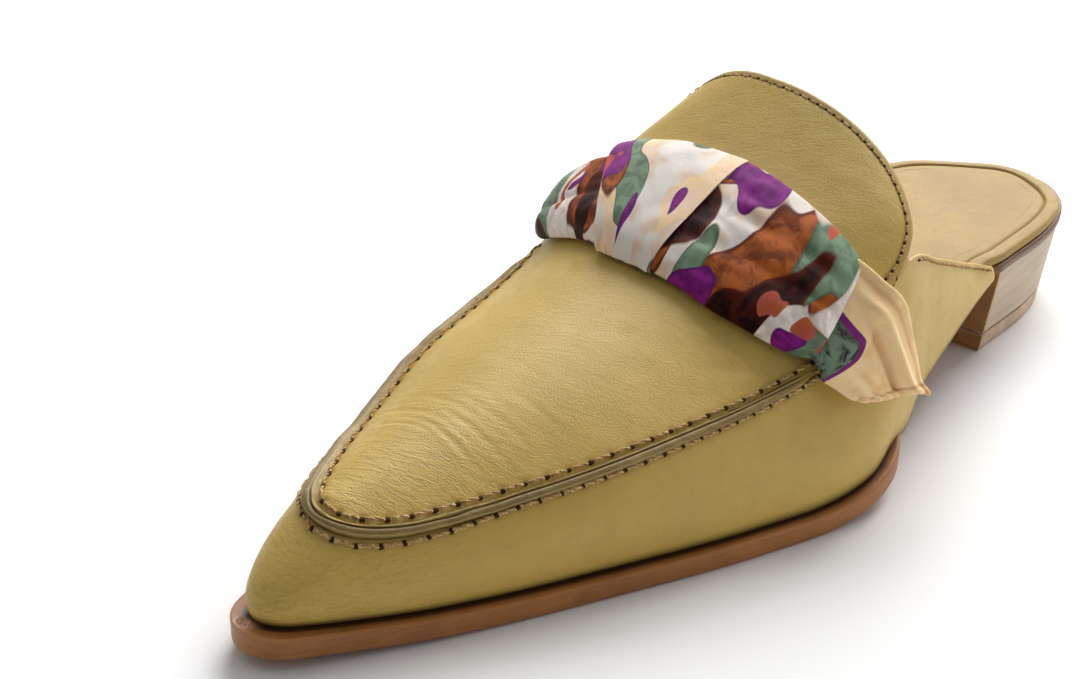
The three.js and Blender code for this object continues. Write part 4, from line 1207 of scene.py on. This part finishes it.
def build_outsole(sizes, materials):
    flats = angle_at(np.array([TREAD_FRONT, TREAD_BACK, BREAST]))
    stations = np.unique(np.concatenate([np.linspace(0, np.pi, 260), flats]))
    # the last number of each ring is its share of the painted rim highlight
    low = [(1.2, 0.0, 0), (0.55, 0.05, 0), (0.2, 0.22, 0.2), (0.03, 0.55, 0), (0.0, 1.0, 0)]
    high = [
        (0.0, 1.0, 0), (0.03, 0.5, 0.3), (0.2, 0.18, 1.0), (0.5, 0.03, 0.6), (1.1, 0.0, 0.2), (2.2, 0.0, 0.1),
    ]
    profile = [(a, lambda d, z=z: underside(d) + z, m) for a, z, m in low]
    profile += [(a, lambda d, z=z: sole_top(d) - z, m) for a, z, m in high]

    def waist(d):
        return (WALL + SOLE_CLEAR) * lap(d) * (1 - ramp(d, UPPER_END + 1, UPPER_END + 7))

    points, faces, marks = flat_plate(stations, profile, waist, 31)
    station = points[:, 1] + MID
    rims = [at(*outline_point(stations, side)[:2], 0)[:, :2] for side in (1.0, -1.0)]
    width = gap_to(points[:, :2], np.concatenate(rims))
    on_top = points[:, 2] > sole_top(station) - 0.15
    # painted shade on the sole's top just inside the feather, where the upper sits
    feather = ledge(station)
    dark = np.where(on_top & (station < UPPER_END), ramp(width, feather - 1.5, feather - 0.7), 0)
    tip = at(SCUFF_X, SCUFF_D, float(sole_top(SCUFF_D)))
    scuff = hump(np.linalg.norm((points - tip) * [0.7, 1, 1], axis=1), SCUFF_WIDTH) * on_top
    frayed = 0.7 * scuff * (0.7 + soft_noise(points, 1.6, 21))
    points = points + vertex_normals(points, faces) * frayed[:, None]
    heel = ramp(station, 196, 206)
    values = {
        # painted highlight along the sole's top rim
        "rubbed": marks["mark"] * 0.55 * (1 - heel),
        # darker towards the heel seat as well
        "dark": np.maximum(dark * 0.92, 0.64 * heel) * (1 - 0.9 * scuff),
        "scuff": np.clip(scuff * 1.9, 0, 0.85),
    }
    return make_piece(
        "outsole_leather", points, faces, materials["sole"], "outsole", values, sharp=60
    )


def heel_ring(z, count, pinch=0.0):
    """Ring of the heel at a height, tapered at the sides and back, with a breast that leans."""
    drop = np.clip((SEAT_HEIGHT - z) / SEAT_HEIGHT, 0, 1)
    angle = np.linspace(float(angle_at(BREAST)), np.pi, count)
    loop_angle = np.concatenate([angle, angle[:-1][::-1]])
    side = np.concatenate([np.ones(count), -np.ones(count - 1)])
    x, d, _ = outline_point(loop_angle, side, HEEL_INSET + HEEL_TAPER_SIDE * drop + pinch)
    back = (d - BREAST) / HEEL_LENGTH
    slope = BREAST_LEAN * drop * (1 - back) + (HEEL_TAPER_BACK - HEEL_TAPER_SIDE) * drop * back
    lid = SEAT_RISE * np.clip(back, 0, 1) - GAP if z >= SEAT_HEIGHT else 0
    front = np.array([pinch if k in (0, 2 * count - 2) else 0.0 for k in range(2 * count - 1)])
    return at(x, d - slope + front, z + lid)


def heel_solid(heights):
    """Stacks heel rings, fills the breast between their two front corners and closes both ends."""
    rings = []
    fill = np.linspace(0, 1, 14)[1:-1, None]
    for z, pinch in heights:
        ring = heel_ring(z, 70, pinch)
        rings.append(np.concatenate([ring, mix(ring[-1], ring[0], fill)]))
    return closed_tube(np.array(rings))


def build_heel(sizes, materials):
    low = LIFT + GAP
    body = [(low, 0.5), (low + 0.12, 0.15), (low + 0.4, 0.0)]
    body += [(z, 0.0) for z in np.linspace(low + 1, SEAT_HEIGHT - 0.8, 12)]
    body += [(SEAT_HEIGHT - 0.01, 0.05), (SEAT_HEIGHT, 0.3)]
    lift = [(0.0, 0.6), (0.12, 0.2), (0.45, 0.0), (1.6, 0.0), (2.9, 0.0), (4.1, 0.0)]
    lift += [(LIFT - 0.12, 0.1), (LIFT, 0.4)]
    for name, heights, material, slot, node in (
        ("heel_block_leather", body, "heel", "stacked_heel", "heel_block"),
        ("heel_lift", lift, "lift", "heel_lift", "top_piece"),
    ):
        points, faces = heel_solid(heights)
        normal = vertex_normals(points, faces)
        if volume(points, faces) < 0:
            normal = -normal
        breast = ramp(-normal[:, 1], 0.75, 0.95) * (points[:, 1] < BREAST - MID + 1.5)
        make_piece(name, points, faces, materials[material], node, {"breast": breast}, sharp=38)


def build_insole(sizes, materials):
    stations = np.linspace(float(angle_at(INSOLE_START)), np.pi, 220)

    def inset(d):
        hidden = foot_inset(d) + WALL + mix(INSOLE_CLEAR, 0.9, lap(d))
        seen = mix(INSOLE_SEAT_INSET, INSOLE_BACK_INSET, ramp(d, 250, 268))
        return mix(hidden, seen, ramp(d, UPPER_END - 2, UPPER_END + 9))

    def seat(d):
        return ramp(d, 165, 195)

    # the last number of each ring is its share of the painted shade in the groove
    rim = [
        (0.5, 0.0, 0.0, 0), (0.12, 0.12, 0.12, 0), (0.0, 0.45, 0.45, 0), (0.0, 1.0, 1.05, 0),
        (0.12, 1.4, 1.55, 0), (0.5, 1.62, 1.9, 0), (1.1, 1.7, 2.05, 0), (2.0, 1.7, 2.12, 0),
        (3.0, 1.7, 2.1, 0), (3.5, 1.7, 1.95, 0.25), (3.75, 1.7, 1.5, 0.9), (3.95, 1.7, 1.3, 1),
        (4.2, 1.7, 1.5, 0.7), (4.6, 1.7, 1.78, 0.1), (5.4, 1.7, 1.88, 0), (7.0, 1.7, 1.85, 0),
    ]
    profile = [
        (a, lambda d, p=plain, r=raised: sole_top(d) + GAP + mix(p, r, seat(d)), mark)
        for a, plain, raised, mark in rim
    ]
    points, faces, marks = flat_plate(stations, profile, inset, 25)
    station = points[:, 1] + MID
    normal = vertex_normals(points, faces)
    on_top = normal[:, 2] > 0.6
    soft = 0.12 * soft_noise(points, 20, 31) + 0.05 * soft_noise(points, 6, 32)
    points = points + np.array([0, 0, 1]) * (soft * on_top * (marks["mark"] < 0.05))[:, None]
    # painted shade in the groove, on the raised seat only
    values = {"groove": marks["mark"] * seat(station) * 0.5}
    return make_piece(
        "insole_leather", points, faces, materials["lining"], "insole", values, sharp=60
    )


band_front, band_back = through(BAND, "front", "e"), through(BAND, "back", "e")


def band_point(e, t, h):
    """A place on the scarf: e across the last, t from front to back, h above it."""
    angle = angle_at(mix(band_front(e), band_back(e), t))
    return across_point(angle, e) + across_normal(angle, e) * np.asarray(h)[..., None]


def closed_section(rows, count):
    """Even points round a closed section given by a table, with the row number and the way at each."""
    ring = np.array([[row["t"] * BAND_WIDTH, row["h"]] for row in rows], float)
    n = len(ring)
    u = np.linspace(0, n, 40 * n, endpoint=False)
    i = u.astype(int)
    f = (u - i)[:, None]
    p0, p1, p2, p3 = (ring[(i + k) % n] for k in (-1, 0, 1, 2))
    square, cube = (2 * p0 - 5 * p1 + 4 * p2 - p3) * f**2, (3 * p1 - p0 - 3 * p2 + p3) * f**3
    curve = 0.5 * (2 * p1 + (p2 - p0) * f + square + cube)
    steps = np.linalg.norm(np.diff(np.concatenate([curve, curve[:1]]), axis=0), axis=1)
    length = np.concatenate([[0], np.cumsum(steps)])
    want = np.linspace(0, length[-1], count, endpoint=False)
    row = np.interp(want, length, np.append(u, n))
    x, y = (np.interp(want, length, np.append(curve[:, k], curve[0, k])) for k in (0, 1))
    return x / BAND_WIDTH, y, row, want


def tube_uv(along, round_it):
    """UV of a closed tube from places in mm along and round it, with its two end points."""
    uv = np.stack(np.broadcast_arrays(along, round_it), -1).reshape(-1, 2)
    return np.concatenate([uv, uv[:1], uv[-1:]]) / UV_MM


def fold_depth(e, t):
    """Depth of the folds pressed into the scarf's band."""
    total = 0 * e * t
    for fold in BAND_FOLDS:
        total = total + fold["depth"] * hump(t - fold["t"] - fold["lean"] * e, fold["width"])
    return total


def build_scarf_band(sizes, materials):
    t, h, row, run = closed_section(BAND_SECTION, 84)
    u = np.linspace(0, 1, 190)[:, None]
    to_end = np.minimum(u, 1 - u) / BAND_END_SHARE
    rounding = np.sqrt(1 - (1 - np.clip(to_end, 0.05, 1)) ** 2)
    e = mix(BAND_MEDIAL, mix(BAND_LATERAL_FRONT, BAND_LATERAL_BACK, np.clip(t, 0, 1)), u)
    upper_side = ramp(row, 0.8, 2.2) * (1 - ramp(row, 7.8, 9.2))
    fold = fold_depth(e, t) * upper_side * sizes.band_folds
    along = mix(0.5, t, 0.8 + 0.2 * rounding)
    station = mix(band_front(e), band_back(e), along)
    over_tongue = BAND_LIFT * ramp(station, BAND_LIFT_FROM, BAND_LIFT_TO)
    ground = band_point(e, along, 0 * along)
    pull = hump(u - 0.62, 0.1)
    small = 0.22 * soft_noise(ground * [1, 1.8, 1], 9, 41) + 0.1 * soft_noise(ground * [1, 2.5, 1], 3.6, 42)
    small = small * upper_side * (1 + 0.6 * pull)
    height = np.maximum(mix(BAND_MIDDLE, h - fold + small, rounding), over_tongue)
    points, faces = closed_tube(band_point(e, along, height))
    uv = tube_uv(u * BAND_CLOTH, run)
    piece = make_piece(
        "scarf_band_cloth", points, faces, materials["print_band"], "scarf_band",
        uv=uv, sharp=70,
    )
    return piece


def build_scarf_wrap(sizes, materials):
    t, h, row, _ = closed_section(BAND_SECTION, 300)
    on_top = row <= BAND_TOP_POINTS - 1
    t, h = t[on_top], h[on_top]
    pick = np.linspace(0, len(t) - 1, 56).round().astype(int)
    x, y = t[pick] * BAND_WIDTH, h[pick]
    dx, dy = np.gradient(x), np.gradient(y)
    length = np.hypot(dx, dy)
    arc = np.concatenate([[0], np.cumsum(np.hypot(np.diff(x), np.diff(y)))])

    def moved(by):
        return (x - by * dy / length) / BAND_WIDTH, y + by * dx / length

    u = np.linspace(0, 1, 120)[:, None]
    gap = mix(WRAP_GAP, WRAP_GAP_RIGHT, u)
    inner_t, inner_h = moved(gap)
    inner_t, inner_h = inner_t[:, ::-1], inner_h[:, ::-1]
    puff = mix(0.75, 0.08, ramp(u, 0.12, 0.95)) * WRAP_THICK
    way = arc / arc[-1]
    folds = 0 * u * way
    for fold in WRAP_FOLDS:
        folds = folds + fold["depth"] * hump(u - fold["u"] - fold["lean"] * way, fold["width"])
    ends = np.minimum(u, (1 - u) * 0.6) / 0.05
    edge = np.sqrt(1 - (1 - np.clip(ends, 0.02, 1)) ** 2)
    small = 0.14 * soft_noise(np.stack(np.broadcast_arrays(u * 34, arc, 0 * arc), -1), 6, 51)
    outer = np.maximum((puff - folds + small) * edge, 0.12)
    outer_t, outer_h = moved(gap + outer)
    ring_t, ring_h = np.concatenate([outer_t, inner_t], 1), np.concatenate([outer_h, inner_h], 1)
    e = mix(mix(WRAP_LEFT_FRONT, WRAP_LEFT_BACK, np.clip(ring_t, 0, 1)), WRAP_RIGHT, u)
    points, faces = closed_tube(band_point(e, ring_t, ring_h))
    uv = tube_uv(u * WRAP_CLOTH + WRAP_CLOTH_START, np.concatenate([arc, arc[::-1] + WRAP_LINING_START]))
    piece = make_piece(
        "scarf_wrap_cloth", points, faces, materials["print_wrap"], "scarf_wrap",
        uv=uv, sharp=70,
    )
    return piece


def build_scarf_tail(sizes, materials):
    read = {key: through(TAIL, key, "q") for key in TAIL[0] if key != "q"}
    q, p = np.linspace(0, 1, TAIL_ROWS)[:, None], np.linspace(0, 1, TAIL_COLUMNS)[None, :]
    d = mix(read["d_front"](q), read["d_back"](q), p)
    e = mix(read["e_front"](q), read["e_back"](q), p) - TAIL_TUCK * (1 - ramp(q, 0, 0.12))
    hem = 0.5 * hump(1 - q, 0.045) + 0.8 * hump(1 - p, 0.05)
    folds = 0 * p * q
    for fold in TAIL_FOLDS:
        ridge = fold["height"] * hump(p - fold["p"] - fold["lean"] * q, fold["width"])
        folds = folds + ridge * ramp(q, fold["q_from"], fold["q_to"])
    pucker = np.sin(p * np.pi * 13 + 1)
    wave = TAIL_WAVE * q * np.sin(p * np.pi * 3) + 0.55 * np.exp(-(1 - q) / 0.11) * pucker
    lift = mix(read["lift"](q), read["lift_back"](q), p**3) + wave + 0.3 * hem + folds
    angle = angle_at(d)
    middle = across_point(angle, e) + across_normal(angle, e) * (lift + TAIL_THICK / 2)[..., None]
    points = middle.reshape(-1, 3)
    half = (0.3 + 0.28 * hem).reshape(-1)
    sheet_faces = [list(map(int, f)) for f in grid_faces(TAIL_ROWS, TAIL_COLUMNS)]
    made, faces, source, _ = thicken(points, sheet_faces, half, -half, 0.9, rounds=4)
    field = (1 - ramp(q, 0.2, 0.62)) * (1 - ramp(p, 0.35, 0.8)) + 0 * p
    # dark lines along both hems, and painted shade in the valleys of the folds and the puckers
    dark = 0.55 * hump(1 - q - 0.075, 0.02) + 0.45 * hump(1 - p - 0.085, 0.025)
    dark = dark + 0.4 * np.clip(-folds, 0, 1) + 0.35 * ramp(q, 0.72, 1.0) * np.clip(-pucker, 0, 1)
    uv = np.stack(np.broadcast_arrays(p * TAIL_CLOTH_WIDTH, q * TAIL_CLOTH_LENGTH), -1).reshape(-1, 2)
    values = {"field": field.reshape(-1)[source], "dark": np.clip(dark, 0, 1).reshape(-1)[source]}
    piece = make_piece(
        "scarf_tail_cloth", made, faces, materials["border"], "scarf_tail", values,
        uv=uv[source] / UV_MM, sharp=70,
    )
    return piece


def build_stitches(sizes, materials):
    stitch = row_tree("Twisted stitches", twisted_stitch)
    hole = row_tree("Awl holes", awl_hole)
    laid = []
    for row in SEAM_ROWS:
        line, normal = seam_line(row["towards"])
        line = line - normal * SEAM_ROW_SINK
        laid.append(stitch_and_holes(line, normal, sizes.seam_pitch, SEAM_STITCH_LIFT))
    for row, (made, _) in zip(SEAM_ROWS, laid):
        lay_row(
            "seam_stitches_" + row["name"], stitch, [made], materials["thread"], 0.08, 5,
            Length=sizes.seam_pitch * row["share"], Radius=row["radius"], Arch=0.3,
        )
    for row, (_, ends) in zip(SEAM_ROWS, laid):
        lay_row(
            "seam_holes_" + row["name"], hole, [ends], materials["hole"], 0.15, 9,
            Length=row["hole_length"], Radius=row["hole_radius"], Arch=0.3,
        )
    edge, normal = tongue_edge()
    along = unit(np.gradient(edge, axis=0))
    towards = unit(np.cross(normal, along))
    centre = edge.mean(0)
    towards *= np.sign(((centre - edge) * towards).sum(-1).mean())
    line = edge + towards * sizes.tongue_row + normal * (GAP + TONGUE_WALL - 0.22)
    made, ends = stitch_and_holes(line, normal, sizes.fine_pitch, 0.05)
    lines, mouths = [made], [ends]
    for side in (1.0, -1.0):
        angle = np.linspace(float(angle_at(TOPLINE_ROW_FROM)), float(angle_at(TOPLINE_ROW_TO)), 260)
        wall = np.linalg.norm(shoulder_point(angle, side) - foot_point(angle, side), axis=-1) * WALL_BOW
        e = side * (1 + np.minimum(TOPLINE_ROW, TOPLINE_ROW_SHARE * wall) / wall)
        line, normal = across_point(angle, e), across_normal(angle, e)
        made, ends = stitch_and_holes(line + normal * 0.05, normal, sizes.fine_pitch, 0.12)
        lines.append(made)
        mouths.append(ends)
    lay_row(
        "edge_stitches", stitch, lines, materials["thread"], 0.08, 12,
        Length=sizes.fine_pitch * 0.62, Radius=0.3, Arch=0.14,
    )
    lay_row(
        "edge_holes", hole, mouths, materials["hole"], 0.15, 13,
        Length=1.1, Radius=0.45, Arch=0.22,
    )


# Camera and light
CAMERA_PLACE = (0.20005, -0.28121, 0.18972)
CAMERA_TARGET = (-0.019607, -0.043909, 0.030)
CAMERA_LENS, CAMERA_SENSOR, CAMERA_ROLL = 56.255, 36.0, 0.753
LIGHT_TARGET = (0, -0.03, 0.03)
KEY_PLACE, KEY_SIZE = (-0.45, 1.0, 0.95), 1.2
FILL_PLACE, FILL_SIZE = (1.0, 0.55, 0.3), 0.8
BRIGHT_SIDE, SHADED_SHARE, SHADE_FROM, SHADE_TO = (-0.6, 0.5, 0.62), 0.22, -0.3, 0.9
FLOOR_HALF = 3.0
GLOW_FROM, GLOW_TO, FAR_GLOW = 500, 1300, 0.8    # far off, in mm, the floor glows as white as the sky


def build_stage(sizes, colours):
    """Makes the floor, the white surroundings, two soft lights and the camera."""
    scene = bpy.context.scene
    mesh = bpy.data.meshes.new("floor")
    corners = [(x * FLOOR_HALF, y * FLOOR_HALF, 0) for x, y in ((-1, -1), (1, -1), (1, 1), (-1, 1))]
    mesh.from_pydata(corners, [], [(0, 1, 2, 3)])
    material, n, shader = new_material("pale floor", 0.9, specular=0.1)
    cloud = n.noise(object_mm(n), 0.002, detail=2).outputs[0]
    n.feed(shader.inputs["Base Color"], n.blend(cloud, rgba(colours.floor, 0.99), rgba(colours.floor)))
    away = n.add("ShaderNodeVectorMath", {0: object_mm(n)}, operation="LENGTH").outputs["Value"]
    # painted light: the floor glows by emission far off, so it reads white and lights the shoe as well
    n.feed(shader.inputs["Emission Color"], (1.0, 1.0, 1.0, 1.0))
    n.feed(shader.inputs["Emission Strength"], n.range(away, GLOW_FROM, GLOW_TO, 0.0, FAR_GLOW))
    mesh.materials.append(material)
    floor = bpy.data.objects.new("floor", mesh)
    scene.collection.objects.link(floor)

    world = bpy.data.worlds.new("soft studio")
    scene.world = world
    world.use_nodes = True
    n = Nodes(world.node_tree)
    background = world.node_tree.nodes["Background"]
    towards = n.add("ShaderNodeTexCoord").outputs["Generated"]
    facing = n.add("ShaderNodeVectorMath", {0: towards, 1: BRIGHT_SIDE}, operation="DOT_PRODUCT")
    bright = facing.outputs["Value"]
    shaded = n.range(bright, SHADE_FROM, SHADE_TO, sizes.world_light * SHADED_SHARE, sizes.world_light)
    seen = n.add("ShaderNodeLightPath").outputs["Is Camera Ray"]
    n.feed(background.inputs[0], (1.0, 1.0, 1.0, 1.0))
    n.feed(background.inputs[1], n.add("ShaderNodeMix", {0: seen, 2: shaded, 3: 1.0}).outputs[0])

    for name, place, size, power in (
        ("key light", KEY_PLACE, KEY_SIZE, sizes.key_light),
        ("fill light", FILL_PLACE, FILL_SIZE, sizes.fill_light),
    ):
        data = bpy.data.lights.new(name, "AREA")
        data.shape, data.size, data.energy = "SQUARE", size, power
        lamp = bpy.data.objects.new(name, data)
        lamp.location = place
        aim = Vector(LIGHT_TARGET) - Vector(place)
        lamp.rotation_mode = "QUATERNION"
        lamp.rotation_quaternion = aim.to_track_quat("-Z", "Y")
        scene.collection.objects.link(lamp)

    data = bpy.data.cameras.new("photo camera")
    data.lens, data.sensor_width, data.sensor_fit = CAMERA_LENS, CAMERA_SENSOR, "HORIZONTAL"
    data.clip_start, data.clip_end = 0.01, 20
    camera = bpy.data.objects.new("photo camera", data)
    back = (Vector(CAMERA_PLACE) - Vector(CAMERA_TARGET)).normalized()
    right = Vector((0, 0, 1)).cross(back).normalized()
    up = back.cross(right)
    roll = math.radians(CAMERA_ROLL)
    tilted_right = right * math.cos(roll) + up * math.sin(roll)
    tilted_up = up * math.cos(roll) - right * math.sin(roll)
    turn = Matrix((tilted_right, tilted_up, back)).transposed().to_4x4()
    camera.matrix_world = Matrix.Translation(CAMERA_PLACE) @ turn
    scene.collection.objects.link(camera)
    scene.camera = camera
    scene.view_settings.view_transform = "Standard"


# Add-on: sizes, colours, operators and panel
def colour_property(name, description, default):
    return FloatVectorProperty(
        name=name, description=description, default=default, subtype="COLOR", size=3, min=0.0, max=1.0
    )


def number(name, description, default, unit="NONE"):
    return FloatProperty(name=name, description=description, default=default, min=0.0, unit=unit)


class MuleSizes(bpy.types.PropertyGroup):
    """Sizes of the mule's details, in millimetres where nothing else is said"""

    seam_pitch: number("Seam stitch", "Length of one stitch beside the raised seam, in mm", 4.5)
    fine_pitch: number("Edge stitch", "Length of one stitch along the tongue and topline, in mm", 2.5)
    tongue_row: number("Tongue row", "Distance of the tongue's stitch row from its edge, in mm", 1.15)
    crease_depth: number("Creases", "Depth of the creases, 1 as placed", 1.0)
    band_folds: number("Scarf folds", "Depth of the scarf's folds, as a share of the table's depth", 0.4)
    key_light: number("Key light", "Power of the key light", 34.0, "POWER")
    fill_light: number("Fill light", "Power of the fill light", 2.4, "POWER")
    world_light: number("Surrounding light", "Strength of the white surroundings", 0.55)


class MuleColours(bpy.types.PropertyGroup):
    """Colours of the mule's materials"""

    leather: colour_property("Leather", "Khaki leather of the upper", linear(202, 171, 87))
    # darker tone for mottle and grain, and the painted shade in the creases
    leather_shade: colour_property("Leather shade", "Creases and grain of the leather", linear(144, 114, 52))
    seam: colour_property("Seam", "Raised seam, darker than the leather", linear(140, 114, 64))
    # painted highlight along the lower edge of the seam's roll
    seam_worn: colour_property("Worn seam", "Rubbed edge of the raised seam", linear(192, 166, 112))
    thread: colour_property("Thread", "Stitching thread", linear(228, 194, 132))
    # painted shade between the thread's turns
    thread_shade: colour_property("Thread shade", "Thread between its turns", linear(160, 122, 66))
    # painted shade: the dark in the awl holes and in the grooves and gaps where the other finishes are
    # darkened
    hole: colour_property("Hole", "Awl holes and deep gaps", linear(62, 36, 18))
    insole: colour_property("Insole", "Cream leather of the insole", linear(168, 137, 68))
    # darker tone for the insole's marks, and the painted shade in its groove
    insole_shade: colour_property("Insole shade", "Groove and marks of the insole", linear(134, 104, 56))
    sole: colour_property("Sole", "Burnished edge of the outsole", linear(166, 108, 56))
    # painted highlight on the rim of the sole's edge
    sole_light: colour_property("Sole rim", "Rubbed rim of the outsole", linear(186, 122, 64))
    sole_dark: colour_property("Sole streaks", "Dark streaks of the outsole", linear(92, 52, 30))
    scuff: colour_property("Scuff", "Frayed leather at the tip", linear(228, 174, 140))
    heel: colour_property("Heel", "Side of the heel block", linear(197, 177, 152))
    heel_dark: colour_property("Heel shade", "Shade in the heel block", linear(170, 146, 122))
    breast: colour_property("Breast", "Front of the heel", linear(186, 140, 84))
    lift: colour_property("Lift", "Rubber of the heel's lift", linear(204, 176, 148))
    rust: colour_property("Rust", "Rust in the print", linear(176, 92, 36))
    umber: colour_property("Umber", "Red brown rims of the rust shapes", linear(92, 30, 16))
    maroon: colour_property("Maroon", "Dark maroon in the print", linear(30, 8, 8))
    plum: colour_property("Plum", "Plum in the print", linear(138, 32, 130))
    plum_dark: colour_property("Dark plum", "Edges of the plum shapes", linear(100, 20, 104))
    sage: colour_property("Sage", "Sage green in the print", linear(126, 150, 124))
    sage_dark: colour_property("Dark sage", "Edges of the sage shapes", linear(88, 108, 84))
    ivory: colour_property("Ivory", "Off-white in the print", linear(240, 230, 222))
    ivory_shade: colour_property("Ivory shade", "Edges of the off-white shapes", linear(222, 206, 196))
    blush: colour_property("Blush", "Pink tint of the pale ground", linear(238, 208, 184))
    coral: colour_property("Coral", "Coral in the print", linear(200, 92, 84))
    peach: colour_property("Peach", "Border cloth of the scarf", linear(255, 221, 164))
    peach_shade: colour_property("Peach shade", "Shade of the border cloth", linear(240, 184, 114))
    # hem lines, and the painted shade in the folds
    peach_dark: colour_property("Hem", "Stitches and folds of the border cloth", linear(186, 124, 70))
    floor: colour_property("Floor", "Pale floor", (0.95, 0.95, 0.95))


def finishes(colours):
    """The materials, made once and kept by name."""
    c = colours
    pale = (c.ivory, c.blush)
    rich = (
        (c.rust, c.umber, 18, 0.49, 0.7, 0.6), (c.sage, c.sage_dark, 19, 0.55, 0.9, 0.45),
        (c.maroon, c.umber, 18, 0.545, 1.0, 0.42), (c.ivory, c.ivory_shade, 16, 0.57, 0.8, 0.5),
        (c.plum, c.plum_dark, 15, 0.62, 0.4, 0.7), (c.rust, c.coral, 9, 0.67, 1.3, 0.6),
    )
    light = (
        (c.blush, c.peach, 16, 0.54, 1.6, 0.5), (c.sage, c.sage_dark, 12, 0.6, 1.2, 0.45),
        (c.rust, c.umber, 17, 0.6, 0.9, 0.6), (c.plum, c.plum_dark, 12, 0.61, 1.4, 0.5),
        (c.coral, c.coral, 14, 0.66, 0.3, 0.8),
    )
    makers = {
        "leather": (upper_leather, "khaki leather", c),
        "lining": (lining_leather, "cream leather", c),
        "sole": (sole_leather, "burnished sole leather", c),
        "heel": (heel_leather, "stacked heel leather", c),
        "lift": (lift_rubber, "lift rubber", c),
        "print_band": (printed_satin, "printed satin", pale, rich, 2.0),
        "print_wrap": (printed_satin, "pale printed satin", pale, light, 31.0),
        "border": (plain_cloth, "scarf border cloth", c),
        "thread": (thread_material, "waxed thread", c.thread, c.thread_shade),
        "hole": (hole_material, "awl hole", c),
    }
    return {
        key: bpy.data.materials.get(name) or make(name, *given)
        for key, (make, name, *given) in makers.items()
    }


def mule_operator(key, label, text, build):
    """An operator that builds one piece, or a group of like pieces."""
    def execute(self, context):
        build(context.scene.mule_sizes, finishes(context.scene.mule_colours))
        return {"FINISHED"}

    return type("MULE_OT_" + key, (bpy.types.Operator,), {
        "__doc__": text, "bl_idname": "mule." + key, "bl_label": label,
        "bl_options": {"REGISTER", "UNDO"}, "execute": execute,
    })


class MULE_OT_stage(bpy.types.Operator):
    """Make the floor, the lights and the camera"""

    bl_idname = "mule.stage"
    bl_label = "Stage"
    bl_options = {"REGISTER", "UNDO"}

    def execute(self, context):
        build_stage(context.scene.mule_sizes, context.scene.mule_colours)
        return {"FINISHED"}


OPERATORS = (
    mule_operator("outsole", "Outsole", "Make the burnished outsole with its ledge", build_outsole),
    mule_operator("heel", "Heel", "Make the heel block and its lift", build_heel),
    mule_operator("insole", "Insole", "Make the insole with its rim and groove", build_insole),
    mule_operator("upper", "Upper", "Make the upper with its raised seam and creases", build_upper),
    mule_operator("tongue", "Tongue", "Make the tongue tab", build_tongue),
    mule_operator("stitches", "Stitches", "Lay every row of stitches and holes", build_stitches),
    mule_operator("scarf_band", "Scarf band", "Make the folded scarf across the vamp", build_scarf_band),
    mule_operator("scarf_wrap", "Scarf wrap", "Make the wrap of the scarf", build_scarf_wrap),
    mule_operator("scarf_tail", "Scarf tail", "Make the loose end of the scarf", build_scarf_tail),
    MULE_OT_stage,
)


class MULE_PT_panel(bpy.types.Panel):
    """Lists the mule's pieces and its sizes"""

    bl_label = "Pointed loafer mule"
    bl_idname = "MULE_PT_panel"
    bl_space_type = "VIEW_3D"
    bl_region_type = "UI"
    bl_category = "Mule"

    def draw(self, context):
        for operator in OPERATORS:
            self.layout.operator(operator.bl_idname)
        for group in (context.scene.mule_sizes, context.scene.mule_colours):
            for key in group.bl_rna.properties.keys():
                if key not in {"rna_type", "name"}:
                    self.layout.prop(group, key)


CLASSES = (MuleSizes, MuleColours, *OPERATORS, MULE_PT_panel)


def register():
    for cls in CLASSES:
        bpy.utils.register_class(cls)
    bpy.types.Scene.mule_sizes = PointerProperty(type=MuleSizes)
    bpy.types.Scene.mule_colours = PointerProperty(type=MuleColours)


def unregister():
    del bpy.types.Scene.mule_sizes
    del bpy.types.Scene.mule_colours
    for cls in reversed(CLASSES):
        bpy.utils.unregister_class(cls)


def main():
    register()
    for operator in OPERATORS:
        getattr(bpy.ops.mule, operator.bl_idname.split(".")[1])()


if __name__ == "__main__":
    main()
